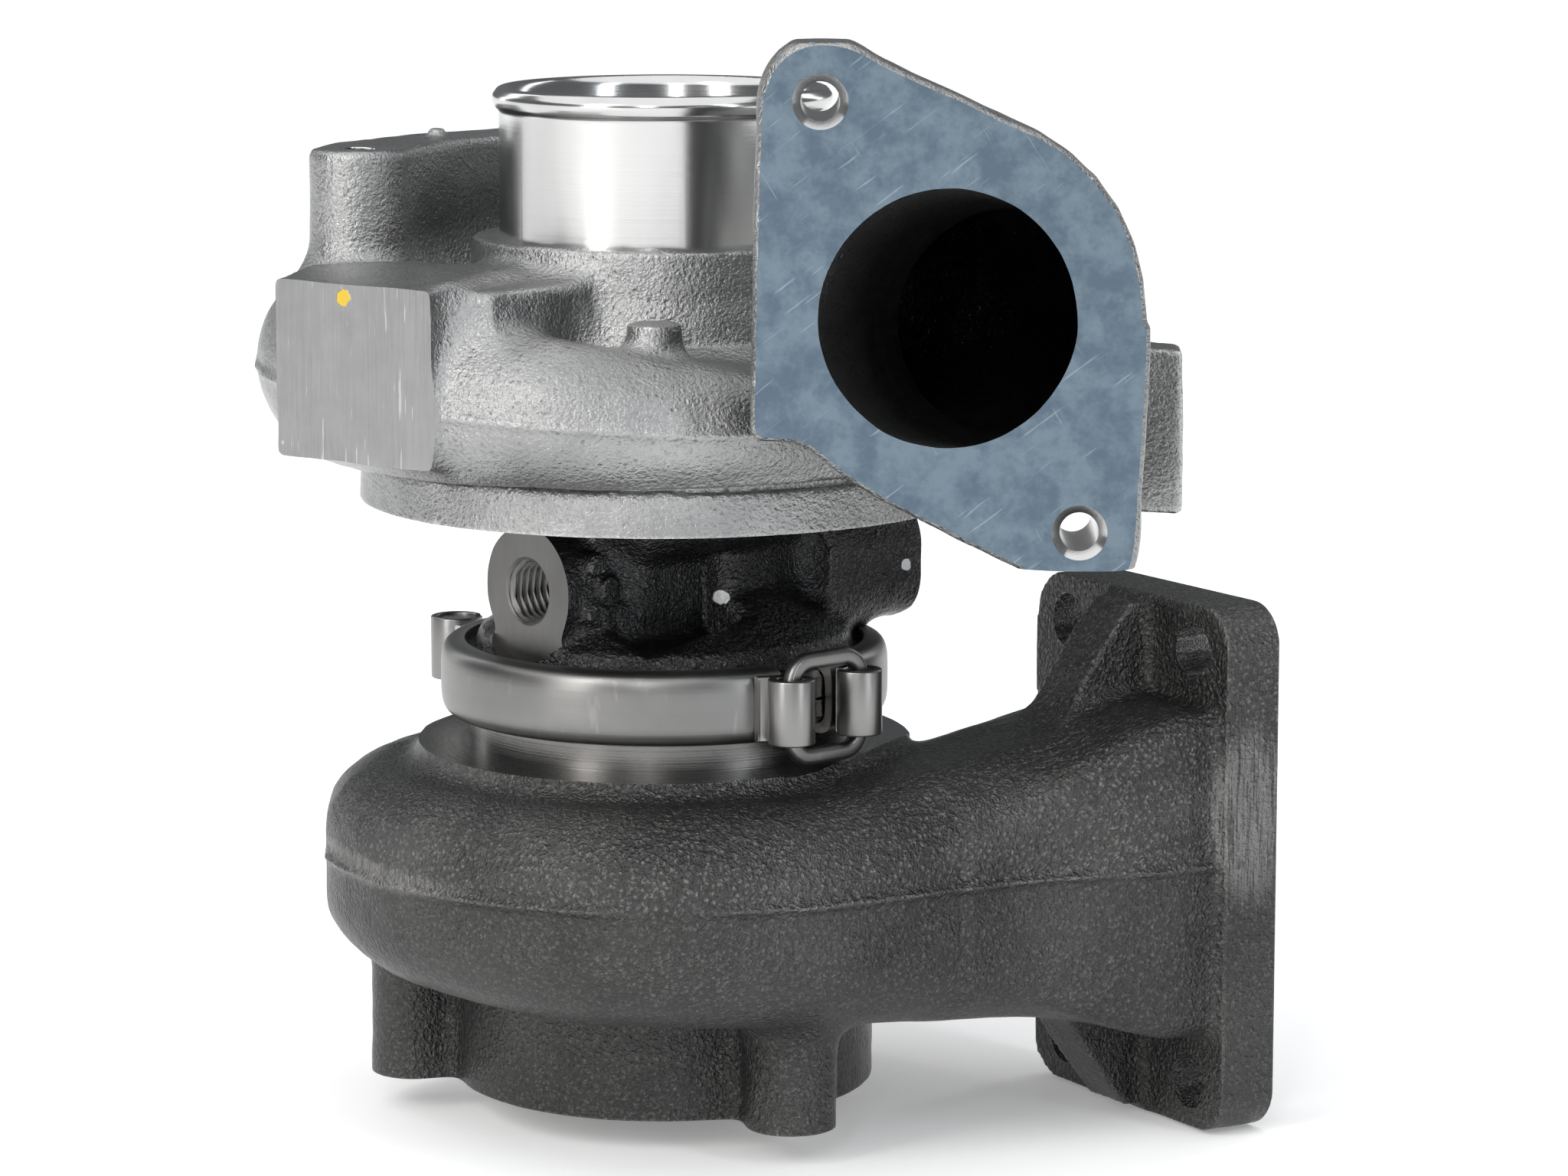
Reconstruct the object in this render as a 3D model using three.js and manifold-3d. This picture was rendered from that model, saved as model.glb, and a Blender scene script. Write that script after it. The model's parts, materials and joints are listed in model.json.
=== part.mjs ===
// Oil-cooled turbocharger with a fixed-geometry turbine. Units are millimetres.
// Everything is drawn about the rotor axis (x = 0, y = 0). +Z runs along that axis from the
// turbine outlet, whose face is z = 0, to the compressor inlet. -Y is the way the compressor
// outlet faces. The gas and the rotor turn clockwise seen from the compressor end.
import * as THREE from 'three';
import { mergeVertices } from 'three/addons/utils/BufferGeometryUtils.js';
import Module from 'manifold-3d';

const wasm = await Module();
wasm.setup();

// Where the rotor axis and the outlet face stand in the part's own frame.
const AXIS_X = -19.1;
const AXIS_Y = -3.5;
const BASE_Z = 5.8;

const RAD = Math.PI / 180;
const ROUND = 28;
const FINE = 32;
const SMALL = 24;
const WELD = 1e-4;
const GAP = 0.3;
const RUN = 0.08;
const OVER = 1;

// Turbine housing
const OUTLET_R = 39;
const OUTLET_BORE_R = 24.5;
const BOSS_RING_R = 47.5;
const BOSS_R = 8.2;
const BOSS_TOP = 24;
const BOSS_ANGLES = [60, 180, 300];
const BOSS_BOLT_R = 3.4;
const BOSS_BOLT_DEPTH = 16;
const TURBINE_MID_Z = 41;
const VOLUTE_START = -58;
const VOLUTE_SWEEP = 325;
const DUCT_OFFSET = 49.5;
const DUCT_ANGLE = 32;
const FLANGE_BACK = 71.7;
const FLANGE_THICK = 11.8;
const FLANGE_WIDTH = 61;
const FLANGE_LOW = -BASE_Z;
const FLANGE_HIGH = 92.9;
const FLANGE_CORNER = 8;
const FLANGE_BOLT_R = 5.2;
const FLANGE_BOLT_X = 19.85;
const FLANGE_BOLT_Z = 40.5;
const RIB_THICK = 13;
const SHELF_WIDTH = 35;
const SHELF_TALL = 62;
const SHELF_DEEP = 22;
const IRON_WALL = 4.5;
const PAD_R = 46;
const PAD_TOP = 64.4;
const NECK_R = 36.5;
const V_FLANGE_R = 39.8;
const V_FACE = 76.45;

// V-band clamp
const BAND_R = 41.85;
const BAND_LOW = 69.8;
const BAND_HIGH = 83.5;
const BAND_SHEET = 1.6;
const LINK_ANGLE = -50;
const LINK_R = 46.5;
const LINK_HALF = 8;
const LINK_WIRE = 3;
const LINK_DEEP = 2.6;
const LINK_TALL = 20.6;
const LINK_LOOP_R = 4.3;
const LINK_LOOP_BORE = 2.3;
const LOOP_TALL = 12;
const BOLT_ANGLE = 127;
const BOLT_LINE_R = 46.2;
const BOLT_R = 2.95;
const BOLT_REACH = 16;
const BOLT_END = 42;
const T_HEAD_R = 3.3;
const HEAD_LOOP_R = 5;
const HEAD_LOOP_BORE = 3.65;
const BARREL_R = 5.2;
const BARREL_BORE = 4.3;
const BARREL_LOOP_R = 6.6;
const BARREL_LOOP_BORE = 5.5;
const CLAMP_NUT_FLATS = 10;
const CLAMP_NUT_TALL = 6;

// Bearing housing and rotor
const JOURNAL_R = 5.5;
const STUB_R = 4;
const BUSH_R = 8.1;
const HUB_R = 9.2;
const OIL_ANGLE = 41;
const OIL_IN_REACH = 32.5;
const OIL_IN_Z = 95.3;
const OIL_IN_R = 12;
const OIL_THREAD_R = 5.1;
const DRAIN_REACH = 45;
const DRAIN_WIDTH = 44;
const DRAIN_Z = 96;
const DRAIN_R = 7;
const DRAIN_BOLT_X = 15.5;
const DRAIN_BOLT_R = 3.4;
const PLATE_R = 49.7;
const PLATE_LOW = 113;
const PLATE_HIGH = 120.8;
const INSERT_R = 24.5;
const TURBINE_BLADES = 11;
const COMPRESSOR_BLADES = 6;
const WHEEL_BACK = 121.3;

// Compressor housing
const LIP_R = 56.4;
const LIP_LOW = 110.5;
const LIP_HIGH = 118.5;
const FLOOR_Z = 121;
const ROOF_Z = 125.2;
const SCROLL_INNER_R = 43.5;
const SCROLL_END_R = 22.3;
const SCROLL_START = -30;
const SCROLL_FIRST = 15;
const SCROLL_SWEEP = 330;
const SCROLL_RINGS = 15;
const ALLOY_WALL = 3.2;
const TUBE_R = 30.2;
const TUBE_LOW = 158.6;
const BEAD_R = 31.4;
const BEAD_LOW = 183;
const INLET_TOP = 186.3;
const INLET_BORE_R = 28;
const OUTLET_X = 50.5;
const OUTLET_Z = 151.6;
const OUTLET_Y = -75;
const OUTLET_PLATE = 10;
const OUTLET_BOLTS = [[28.6, 188.7], [73.4, 114.4]];
const OUTLET_BOLT_R = 3.4;
const BLOCK_RIGHT = [-39.3, -58];
const BLOCK_LEFT = [-67.7, -37];
const BLOCK_LOW = 122.7;
const BLOCK_HIGH = 154.4;
const WALL_INNER_R = 48.5;
const WALL_OUTER_R = 66.5;
const WALL_TOP = 174;
const WALL_FROM = 172;
const WALL_TO = 104;

// ---- solids ----

function toSolid(geometry) {
  const bare = geometry.clone();
  bare.deleteAttribute('normal');
  bare.deleteAttribute('uv');
  const merged = mergeVertices(bare, WELD);
  const source = merged.index.array;
  const kept = [];
  for (let i = 0; i < source.length; i += 3) {
    const [a, b, c] = [source[i], source[i + 1], source[i + 2]];
    if (a !== b && b !== c && c !== a) kept.push(a, b, c);
  }
  return new wasm.Manifold(new wasm.Mesh({
    numProp: 3,
    vertProperties: new Float32Array(merged.attributes.position.array),
    triVerts: new Uint32Array(kept),
  }));
}

function toGeometry(body) {
  const mesh = body.getMesh();
  const geometry = new THREE.BufferGeometry();
  geometry.setAttribute('position', new THREE.BufferAttribute(new Float32Array(mesh.vertProperties), 3));
  geometry.setIndex(new THREE.BufferAttribute(new Uint32Array(mesh.triVerts), 1));
  geometry.computeVertexNormals();
  return geometry;
}

function join(first, ...others) {
  return others.reduce((body, other) => body.add(other), first);
}

function cut(first, ...others) {
  return others.reduce((body, other) => body.subtract(other), first);
}

// A profile of [radius, z] points turned about the rotor axis, counter-clockwise in that plane.
function lathe(profile, segments = ROUND) {
  const points = profile.map(([r, z]) => new THREE.Vector2(r, z));
  return toSolid(new THREE.LatheGeometry(points, segments).rotateX(Math.PI / 2));
}

function ring(profile, segments = ROUND) {
  return lathe([...profile, profile[0]], segments);
}

function washer(inner, outer, low, high, segments = ROUND) {
  return ring([[inner, low], [outer, low], [outer, high], [inner, high]], segments);
}

function disc(radius, low, high, segments = ROUND) {
  return lathe([[0, low], [radius, low], [radius, high], [0, high]], segments);
}

// A round bar between two points, tapered when two radii are given.
function rod(from, to, radiusFrom, radiusTo = radiusFrom, sides = 16) {
  const start = new THREE.Vector3(...from);
  const end = new THREE.Vector3(...to);
  const along = end.clone().sub(start);
  const geometry = new THREE.CylinderGeometry(radiusTo, radiusFrom, along.length(), sides);
  const turn = new THREE.Quaternion();
  turn.setFromUnitVectors(new THREE.Vector3(0, 1, 0), along.normalize());
  geometry.applyQuaternion(turn);
  geometry.translate(...start.add(end).multiplyScalar(0.5).toArray());
  return toSolid(geometry);
}

// A block with one side along a direction in plan, centred on a point.
function block(centre, long, wide, tall, angle = 0) {
  const geometry = new THREE.BoxGeometry(long, wide, tall);
  geometry.rotateZ(angle * RAD);
  geometry.translate(...centre);
  return toSolid(geometry);
}

// An upright prism over an outline of [x, y] points.
function prism(outline, low, high) {
  const shape = new THREE.Shape(outline.map(([x, y]) => new THREE.Vector2(x, y)));
  const geometry = new THREE.ExtrudeGeometry(shape, { depth: high - low, bevelEnabled: false });
  return toSolid(geometry.translate(0, 0, low));
}

function roundedOutline(halfWide, halfTall, corner) {
  const shape = new THREE.Shape();
  const quarter = Math.PI / 2;
  shape.absarc(halfWide - corner, halfTall - corner, corner, 0, quarter);
  shape.absarc(corner - halfWide, halfTall - corner, corner, quarter, 2 * quarter);
  shape.absarc(corner - halfWide, corner - halfTall, corner, 2 * quarter, 3 * quarter);
  shape.absarc(halfWide - corner, corner - halfTall, corner, 3 * quarter, 4 * quarter);
  shape.closePath();
  return shape;
}

// A skin through a row of closed rings that have equal numbers of points, capped at both ends.
function loft(rings) {
  const count = rings[0].length;
  const points = rings.flat();
  const faces = [];
  for (let k = 0; k + 1 < rings.length; k += 1) {
    for (let j = 0; j < count; j += 1) {
      const a = k * count + j;
      const b = k * count + (j + 1) % count;
      faces.push([a, b, b + count], [a, b + count, a + count]);
    }
  }
  const last = (rings.length - 1) * count;
  for (let j = 1; j + 1 < count; j += 1) {
    faces.push([0, j + 1, j], [last, last + j, last + j + 1]);
  }
  let volume = 0;
  for (const [a, b, c] of faces) {
    volume += points[a].dot(points[b].clone().cross(points[c]));
  }
  const index = faces.flatMap(([a, b, c]) => (volume > 0 ? [a, b, c] : [a, c, b]));
  const geometry = new THREE.BufferGeometry().setFromPoints(points);
  geometry.setIndex(index);
  return toSolid(geometry);
}

// A rounded section: power 1 is an ellipse, smaller powers are squarer.
function section(centre, side, halfWide, halfTall, power = 1, count = 12) {
  const points = [];
  for (let i = 0; i < count; i += 1) {
    const turn = 2 * Math.PI * i / count;
    const wide = Math.sign(Math.cos(turn)) * Math.abs(Math.cos(turn)) ** power;
    const tall = Math.sign(Math.sin(turn)) * Math.abs(Math.sin(turn)) ** power;
    const point = centre.clone().addScaledVector(side, halfWide * wide);
    point.z += halfTall * tall;
    points.push(point);
  }
  return points;
}

function radial(degrees) {
  return new THREE.Vector3(Math.cos(degrees * RAD), Math.sin(degrees * RAD), 0);
}

function onCircle(radius, degrees, z) {
  return [radius * Math.cos(degrees * RAD), radius * Math.sin(degrees * RAD), z];
}

function mix(a, b, t) {
  return a + (b - a) * t;
}

// ---- turbine housing ----

// Size of the turbine volute's casting at a share of its sweep, 0 at the duct and 1 at the tongue.
function turbineSection(share) {
  const halfWide = mix(19.5, 9, share);
  const centre = radial(VOLUTE_START - VOLUTE_SWEEP * share);
  centre.multiplyScalar(mix(69, 55.5, share) - halfWide);
  centre.z = mix(TURBINE_MID_Z, 47, share);
  return { centre, side: radial(VOLUTE_START - VOLUTE_SWEEP * share), halfWide, halfTall: mix(20.8, 11.8, share) };
}

// The straight inlet duct, at a distance from the point where it meets the volute.
function ductSection(reach) {
  const share = Math.min(reach / FLANGE_BACK, 1);
  const side = radial(VOLUTE_START);
  const centre = side.clone().multiplyScalar(DUCT_OFFSET).addScaledVector(radial(DUCT_ANGLE), reach);
  centre.z = mix(TURBINE_MID_Z, (FLANGE_LOW + FLANGE_HIGH) / 2, share);
  return { centre, side, halfWide: mix(19.5, 20, share), halfTall: mix(20.8, 29, share) };
}

function turbineRings(sections, inset, power) {
  return sections.map((s) => section(s.centre, s.side, s.halfWide - inset, s.halfTall - inset, power));
}

function facingFlange(geometry) {
  const across = radial(DUCT_ANGLE + 90);
  const outward = radial(DUCT_ANGLE);
  const frame = new THREE.Matrix4().makeBasis(across, new THREE.Vector3(0, 0, 1), outward);
  const centre = radial(VOLUTE_START).multiplyScalar(DUCT_OFFSET).addScaledVector(outward, FLANGE_BACK);
  frame.setPosition(centre.x, centre.y, (FLANGE_LOW + FLANGE_HIGH) / 2);
  return toSolid(geometry.applyMatrix4(frame));
}

function inletFlange() {
  const shape = roundedOutline(FLANGE_WIDTH / 2, (FLANGE_HIGH - FLANGE_LOW) / 2, FLANGE_CORNER);
  for (const x of [-FLANGE_BOLT_X, FLANGE_BOLT_X]) {
    for (const z of [-FLANGE_BOLT_Z, FLANGE_BOLT_Z]) {
      shape.holes.push(new THREE.Path().absarc(x, z, FLANGE_BOLT_R, 0, 2 * Math.PI, true));
    }
  }
  const settings = { depth: FLANGE_THICK, bevelEnabled: false, curveSegments: 6 };
  return facingFlange(new THREE.ExtrudeGeometry(shape, settings));
}

// A rib up the middle of the flange's back, above and below the duct.
function flangeRib() {
  const halfHigh = (FLANGE_HIGH - FLANGE_LOW) / 2;
  const outline = [
    [46, -20], [46, 20], [50, 26], [57, 33], [64, 41], [68, halfHigh - 2.5], [FLANGE_BACK + OVER, halfHigh - 2.5],
    [FLANGE_BACK + OVER, 2.5 - halfHigh], [68, 2.5 - halfHigh], [64, -41], [57, -33], [50, -26],
  ];
  const shape = new THREE.Shape(outline.map(([reach, rise]) => new THREE.Vector2(reach - FLANGE_BACK, rise)));
  const geometry = new THREE.ExtrudeGeometry(shape, { depth: RIB_THICK, bevelEnabled: false });
  geometry.translate(0, 0, -RIB_THICK / 2);
  geometry.rotateY(-Math.PI / 2);
  return facingFlange(geometry);
}

// The thickened end of the duct, whose outer side runs flush to the flange's edge.
function flangeShelf() {
  const shape = roundedOutline(SHELF_WIDTH / 2, SHELF_TALL / 2, 6);
  const geometry = new THREE.ExtrudeGeometry(shape, { depth: SHELF_DEEP, bevelEnabled: false, curveSegments: 3 });
  geometry.translate(-FLANGE_WIDTH / 2 + SHELF_WIDTH / 2 + 2, 0, -SHELF_DEEP + OVER);
  return facingFlange(geometry);
}

function turbineHousing() {
  const shares = Array.from({ length: 13 }, (_, i) => i / 12);
  const reaches = [FLANGE_BACK + OVER, 50, 28];
  const cast = [...reaches.map(ductSection), ...shares.map(turbineSection)];
  const gas = [FLANGE_BACK + FLANGE_THICK + OVER, ...reaches, 12];
  const passage = [...gas.map(ductSection), ...shares.slice(0, -1).map(turbineSection)];
  const outer = join(
    loft(turbineRings(cast, 0, 0.75)),
    lathe([
      [0, 0], [OUTLET_R, 0], [OUTLET_R, 18], [PAD_R, 30], [PAD_R, PAD_TOP], [NECK_R, PAD_TOP],
      [NECK_R, BAND_LOW + 1.9], [V_FLANGE_R - 1.1, BAND_LOW + 1.9], [V_FLANGE_R, BAND_LOW + 3.2],
      [V_FLANGE_R, V_FACE - GAP / 2], [0, V_FACE - GAP / 2],
    ]),
    inletFlange(),
    flangeRib(),
    flangeShelf(),
    ...BOSS_ANGLES.map((a) => rod(onCircle(BOSS_RING_R, a, 0), onCircle(BOSS_RING_R, a, BOSS_TOP), BOSS_R)),
  );
  const wheelRoom = lathe([
    [0, -OVER], [OUTLET_BORE_R, -OVER], [21.8, 22], [21.8, 41], [22.7, 45.5], [25, 50], [27.4, 53.7],
    [27.4, 61.4], [31, 61.4], [31, 66], [33.4, 66], [33.4, V_FACE + OVER], [0, V_FACE + OVER],
  ]);
  const throat = washer(27, 42, 53.7, 61.4);
  const bolts = BOSS_ANGLES.map((a) => (
    rod(onCircle(BOSS_RING_R, a, -OVER), onCircle(BOSS_RING_R, a, BOSS_BOLT_DEPTH), BOSS_BOLT_R, BOSS_BOLT_R, 16)
  ));
  const port = facingFlange(new THREE.ExtrudeGeometry(
    roundedOutline(15.5, 24.5, 9),
    { depth: FLANGE_THICK + 2 * OVER, bevelEnabled: false, curveSegments: 5 },
  ).translate(0, 0, -OVER));
  const pinHole = rod(onCircle(36.2, 20, V_FACE - 4.5), onCircle(36.2, 20, V_FACE + OVER), 1.9, 1.9, 12);
  return cut(outer, loft(turbineRings(passage, IRON_WALL, 0.75)), wheelRoom, throat, port, pinHole, ...bolts);
}

// ---- V-band clamp ----

// A wedge of the clamp's ring between two angles, counter-clockwise.
function wedge(from, to) {
  const reach = 2 * BAND_R;
  const outline = [[0, 0]];
  for (let a = from; a < to; a += 30) outline.push(onCircle(reach, a, 0).slice(0, 2));
  outline.push(onCircle(reach, to, 0).slice(0, 2));
  return prism(outline, BAND_LOW - OVER, BAND_HIGH + OVER);
}

function bandRing() {
  const inner = BAND_R - BAND_SHEET;
  return ring([
    [37.6, BAND_LOW], [39.6, BAND_LOW], [BAND_R, BAND_LOW + 2.4], [BAND_R, BAND_HIGH - 2.4],
    [39.6, BAND_HIGH], [37.2, BAND_HIGH], [37.2, BAND_HIGH - 1.5], [38.9, BAND_HIGH - 1.5],
    [inner, BAND_HIGH - 2.9], [inner, BAND_LOW + 2.9], [38.9, BAND_LOW + 1.5], [37.6, BAND_LOW + 1.5],
  ]);
}

function bandMiddle() {
  return (BAND_LOW + BAND_HIGH) / 2;
}

// A point beside the link or the T-bolt, given along and out from the line that it lies on.
function beside(angle, lineRadius, along) {
  const out = radial(angle).multiplyScalar(lineRadius);
  const way = radial(angle + 90).multiplyScalar(along);
  return [out.x + way.x, out.y + way.y, bandMiddle()];
}

function upright(point, radius, tall, sides = 16) {
  const [x, y, z] = point;
  return rod([x, y, z - tall / 2], [x, y, z + tall / 2], radius, radius, sides);
}

// A rolled strap loop standing on the band, with the strip of strap that holds it.
function strapLoop(point, radius, bore, angle) {
  const [x, y, z] = point;
  const reach = Math.hypot(x, y);
  const strip = block([...onCircle((BAND_R + reach) / 2 - 0.8, angle, 0).slice(0, 2), z],
    reach - BAND_R + 1.4, 3.6, LOOP_TALL - 2, angle);
  return cut(join(upright(point, radius, LOOP_TALL), strip), upright(point, bore, LOOP_TALL + 2 * OVER));
}

function boltWindow() {
  const from = beside(BOLT_ANGLE, BOLT_LINE_R, BOLT_REACH + HEAD_LOOP_R + OVER);
  const to = beside(BOLT_ANGLE, BOLT_LINE_R, -BOLT_END);
  return rod(from, to, BARREL_BORE, BARREL_BORE, 16);
}

function bandFront() {
  const linkEnd = beside(LINK_ANGLE, LINK_R, -LINK_HALF);
  const boltEnd = beside(BOLT_ANGLE, BOLT_LINE_R, BOLT_REACH);
  const half = bandRing().intersect(wedge(BOLT_ANGLE + 14, LINK_ANGLE + 360 - 8));
  const loops = join(
    strapLoop(linkEnd, LINK_LOOP_R, LINK_LOOP_BORE, LINK_ANGLE - 13.5),
    strapLoop(boltEnd, HEAD_LOOP_R, HEAD_LOOP_BORE, BOLT_ANGLE + 23),
  );
  const shank = rod(boltEnd, beside(BOLT_ANGLE, BOLT_LINE_R, 0), BOLT_R + GAP, BOLT_R + GAP, 16);
  return cut(join(half, loops), linkRoom(-LINK_HALF), shank);
}

function bandRear() {
  const linkEnd = beside(LINK_ANGLE, LINK_R, LINK_HALF);
  const boltEnd = beside(BOLT_ANGLE, BOLT_LINE_R, -BOLT_REACH);
  const half = bandRing().intersect(wedge(LINK_ANGLE + 8, BOLT_ANGLE - 14));
  const loops = join(
    strapLoop(linkEnd, LINK_LOOP_R, LINK_LOOP_BORE, LINK_ANGLE + 13.5),
    strapLoop(boltEnd, BARREL_LOOP_R, BARREL_LOOP_BORE, BOLT_ANGLE - 23),
  );
  return cut(join(half, loops), linkRoom(LINK_HALF), boltWindow());
}

// Room round one upright wire of the link, for the rolled loop that turns on it.
function linkRoom(along) {
  return upright(beside(LINK_ANGLE, LINK_R, along), LINK_LOOP_BORE, LINK_TALL);
}

function clampLink() {
  const halfWide = LINK_HALF + LINK_WIRE / 2;
  const shape = roundedOutline(halfWide, LINK_TALL / 2, 4.5);
  const hole = roundedOutline(halfWide - LINK_WIRE, LINK_TALL / 2 - LINK_WIRE, 1.8);
  shape.holes.push(new THREE.Path(hole.getPoints(4)));
  const geometry = new THREE.ExtrudeGeometry(shape, { depth: LINK_DEEP, bevelEnabled: false, curveSegments: 5 });
  geometry.translate(0, 0, -LINK_DEEP / 2);
  const frame = new THREE.Matrix4().makeBasis(
    radial(LINK_ANGLE + 90), new THREE.Vector3(0, 0, 1), radial(LINK_ANGLE),
  );
  frame.setPosition(...beside(LINK_ANGLE, LINK_R, 0));
  return toSolid(geometry.applyMatrix4(frame));
}

function tBolt() {
  const head = beside(BOLT_ANGLE, BOLT_LINE_R, BOLT_REACH);
  const end = beside(BOLT_ANGLE, BOLT_LINE_R, -BOLT_END);
  return join(upright(head, T_HEAD_R, LOOP_TALL - 1), rod(head, end, BOLT_R, BOLT_R, 16));
}

function clampBarrel() {
  return cut(upright(beside(BOLT_ANGLE, BOLT_LINE_R, -BOLT_REACH), BARREL_R, LOOP_TALL - 1), boltWindow());
}

function clampNut() {
  const near = BOLT_REACH + BARREL_LOOP_R + GAP;
  const corner = CLAMP_NUT_FLATS / Math.sqrt(3);
  const from = beside(BOLT_ANGLE, BOLT_LINE_R, -near);
  const to = beside(BOLT_ANGLE, BOLT_LINE_R, -near - CLAMP_NUT_TALL);
  const bore = BOLT_R + RUN;
  const before = beside(BOLT_ANGLE, BOLT_LINE_R, -near + OVER);
  const after = beside(BOLT_ANGLE, BOLT_LINE_R, -near - CLAMP_NUT_TALL - OVER);
  return cut(rod(from, to, corner, corner, 6), rod(before, after, bore, bore, 16));
}

function locatingPin() {
  return rod(onCircle(36.2, 20, V_FACE - 3.9), onCircle(36.2, 20, V_FACE + 3.4), 1.6, 1.6, 12);
}

// ---- bearing housing ----

// A point on the line from the oil inlet (negative reach) through the axis to the oil drain.
function alongOil(reach, z, across = 0) {
  const point = radial(OIL_ANGLE).multiplyScalar(reach).addScaledVector(radial(OIL_ANGLE + 90), across);
  return [point.x, point.y, z];
}

function bearingHousing() {
  const core = lathe([
    [0, 66.6], [16, 66.6], [17, 72.5], [27, 72.5], [27.5, 68], [33.1, 68], [33.1, V_FACE + GAP / 2],
    [V_FLANGE_R, V_FACE + GAP / 2], [V_FLANGE_R, 80.3], [V_FLANGE_R - 1.1, BAND_HIGH - 1.9],
    [35.6, BAND_HIGH - 1.9], [35, 85], [28, 90], [25.5, 98], [27, 108], [36, PLATE_LOW],
    [PLATE_R, PLATE_LOW], [PLATE_R, 115.9], [47.8, 115.9], [47.8, 118.6], [PLATE_R, 118.6],
    [PLATE_R, PLATE_HIGH], [0, PLATE_HIGH],
  ]);
  const bar = block(alongOil(12, 98.8), 60, 34, 26, OIL_ANGLE);
  const pad = toSolid(new THREE.ExtrudeGeometry(
    roundedOutline(DRAIN_WIDTH / 2, 10.8, 8),
    { depth: 24, bevelEnabled: false, curveSegments: 6 },
  ).applyMatrix4(new THREE.Matrix4().makeBasis(
    radial(OIL_ANGLE + 90), new THREE.Vector3(0, 0, 1), radial(OIL_ANGLE),
  ).setPosition(...alongOil(DRAIN_REACH - 24, DRAIN_Z))));
  const inlet = rod(alongOil(-OIL_IN_REACH, OIL_IN_Z), alongOil(-8, OIL_IN_Z), OIL_IN_R, OIL_IN_R, 24);
  const outer = join(core, bar, pad, inlet);
  const bore = BUSH_R + RUN;
  const main = lathe([
    [0, 60], [HUB_R + 0.3, 60], [HUB_R + 0.3, 74.5], [13, 74.5], [13, 78], [bore, 78], [bore, 78.2],
    [9.3, 78.2], [9.3, 79.4], [bore, 79.4], [bore, 87.6], [9.3, 87.6], [9.3, 95.9], [bore, 95.9],
    [bore, 105.1], [9.3, 105.1], [9.3, 106.3], [bore, 106.3], [bore, 107], [19.8, 107], [19.8, 114.6],
    [INSERT_R + GAP, 114.6], [INSERT_R + GAP, 118.9], [26.4, 118.9], [26.4, 120.1],
    [INSERT_R + GAP, 120.1], [INSERT_R + GAP, 130], [0, 130],
  ], FINE);
  const oilIn = join(
    rod(alongOil(-OIL_IN_REACH - OVER, OIL_IN_Z), alongOil(-19, OIL_IN_Z), OIL_THREAD_R),
    rod(alongOil(-20, OIL_IN_Z), alongOil(-7, 92), 1.8, 1.8, 12),
  );
  const drain = join(
    rod(alongOil(DRAIN_REACH + OVER, DRAIN_Z), alongOil(15.5, DRAIN_Z), DRAIN_R),
    rod(alongOil(16, 76), alongOil(16, 108), 3.4, 3.4, 16),
  );
  const drainBolts = [-DRAIN_BOLT_X, DRAIN_BOLT_X].map((x) => (
    rod(alongOil(DRAIN_REACH + OVER, DRAIN_Z, x), alongOil(DRAIN_REACH - 12, DRAIN_Z, x),
      DRAIN_BOLT_R, DRAIN_BOLT_R, 16)
  ));
  const pinHole = rod(onCircle(36.2, 20, V_FACE - OVER), onCircle(36.2, 20, V_FACE + 4), 1.9, 1.9, 12);
  return cut(outer, main, oilIn, drain, pinHole, ...drainBolts);
}

function heatShield() {
  return ring([
    [9.9, 62.9], [29, 62.9], [30.4, 64.2], [30.4, 66.3], [33.1, 66.3], [33.1, 67.6], [29.2, 67.6],
    [29.2, 64.7], [28.4, 64.1], [9.9, 64.1],
  ]);
}

// A flat ring with a gap in it, for circlips and piston rings.
function splitRing(inner, outer, low, high, gapWidth, angle, segments = SMALL) {
  const reach = (inner + outer) / 2;
  const opening = block([...onCircle(reach, angle, 0).slice(0, 2), (low + high) / 2],
    2 * (outer - inner), gapWidth, 2 * (high - low), angle);
  return cut(washer(inner, outer, low, high, segments), opening);
}

function thrustBearing() {
  const oilGap = block([...alongOil(17, 0).slice(0, 2), 110.9], 14, 12, 6, OIL_ANGLE);
  return cut(washer(6, 19.5, 109.5, 112.3, SMALL), oilGap);
}

function oilDeflector() {
  const flat = washer(10, 19.5, 112.7, 113.5, SMALL);
  const tongue = block([...alongOil(14.5, 0).slice(0, 2), 111.6], 1, 11, 3, OIL_ANGLE);
  return join(flat, tongue);
}

function sealPlate() {
  return ring([
    [7.8, 114.9], [INSERT_R, 114.9], [INSERT_R, 115.9], [22.7, 115.9], [22.7, 117.9],
    [INSERT_R, 117.9], [INSERT_R, 118.8], [19, 118.8], [18, 120.7], [7.8, 120.7],
  ], SMALL);
}

// ---- rotor ----

function rotorShaft() {
  return lathe([
    [0, 62.3], [HUB_R, 62.3], [HUB_R, 67.5], [7.6, 67.5], [7.6, 69.7], [HUB_R, 69.7], [HUB_R, 72.4],
    [6.6, 73.6], [JOURNAL_R, 75.4], [JOURNAL_R, 106.9], [STUB_R, 106.9], [STUB_R, 155.2],
    [STUB_R - 0.8, 156], [0, 156],
  ], FINE);
}

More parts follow.
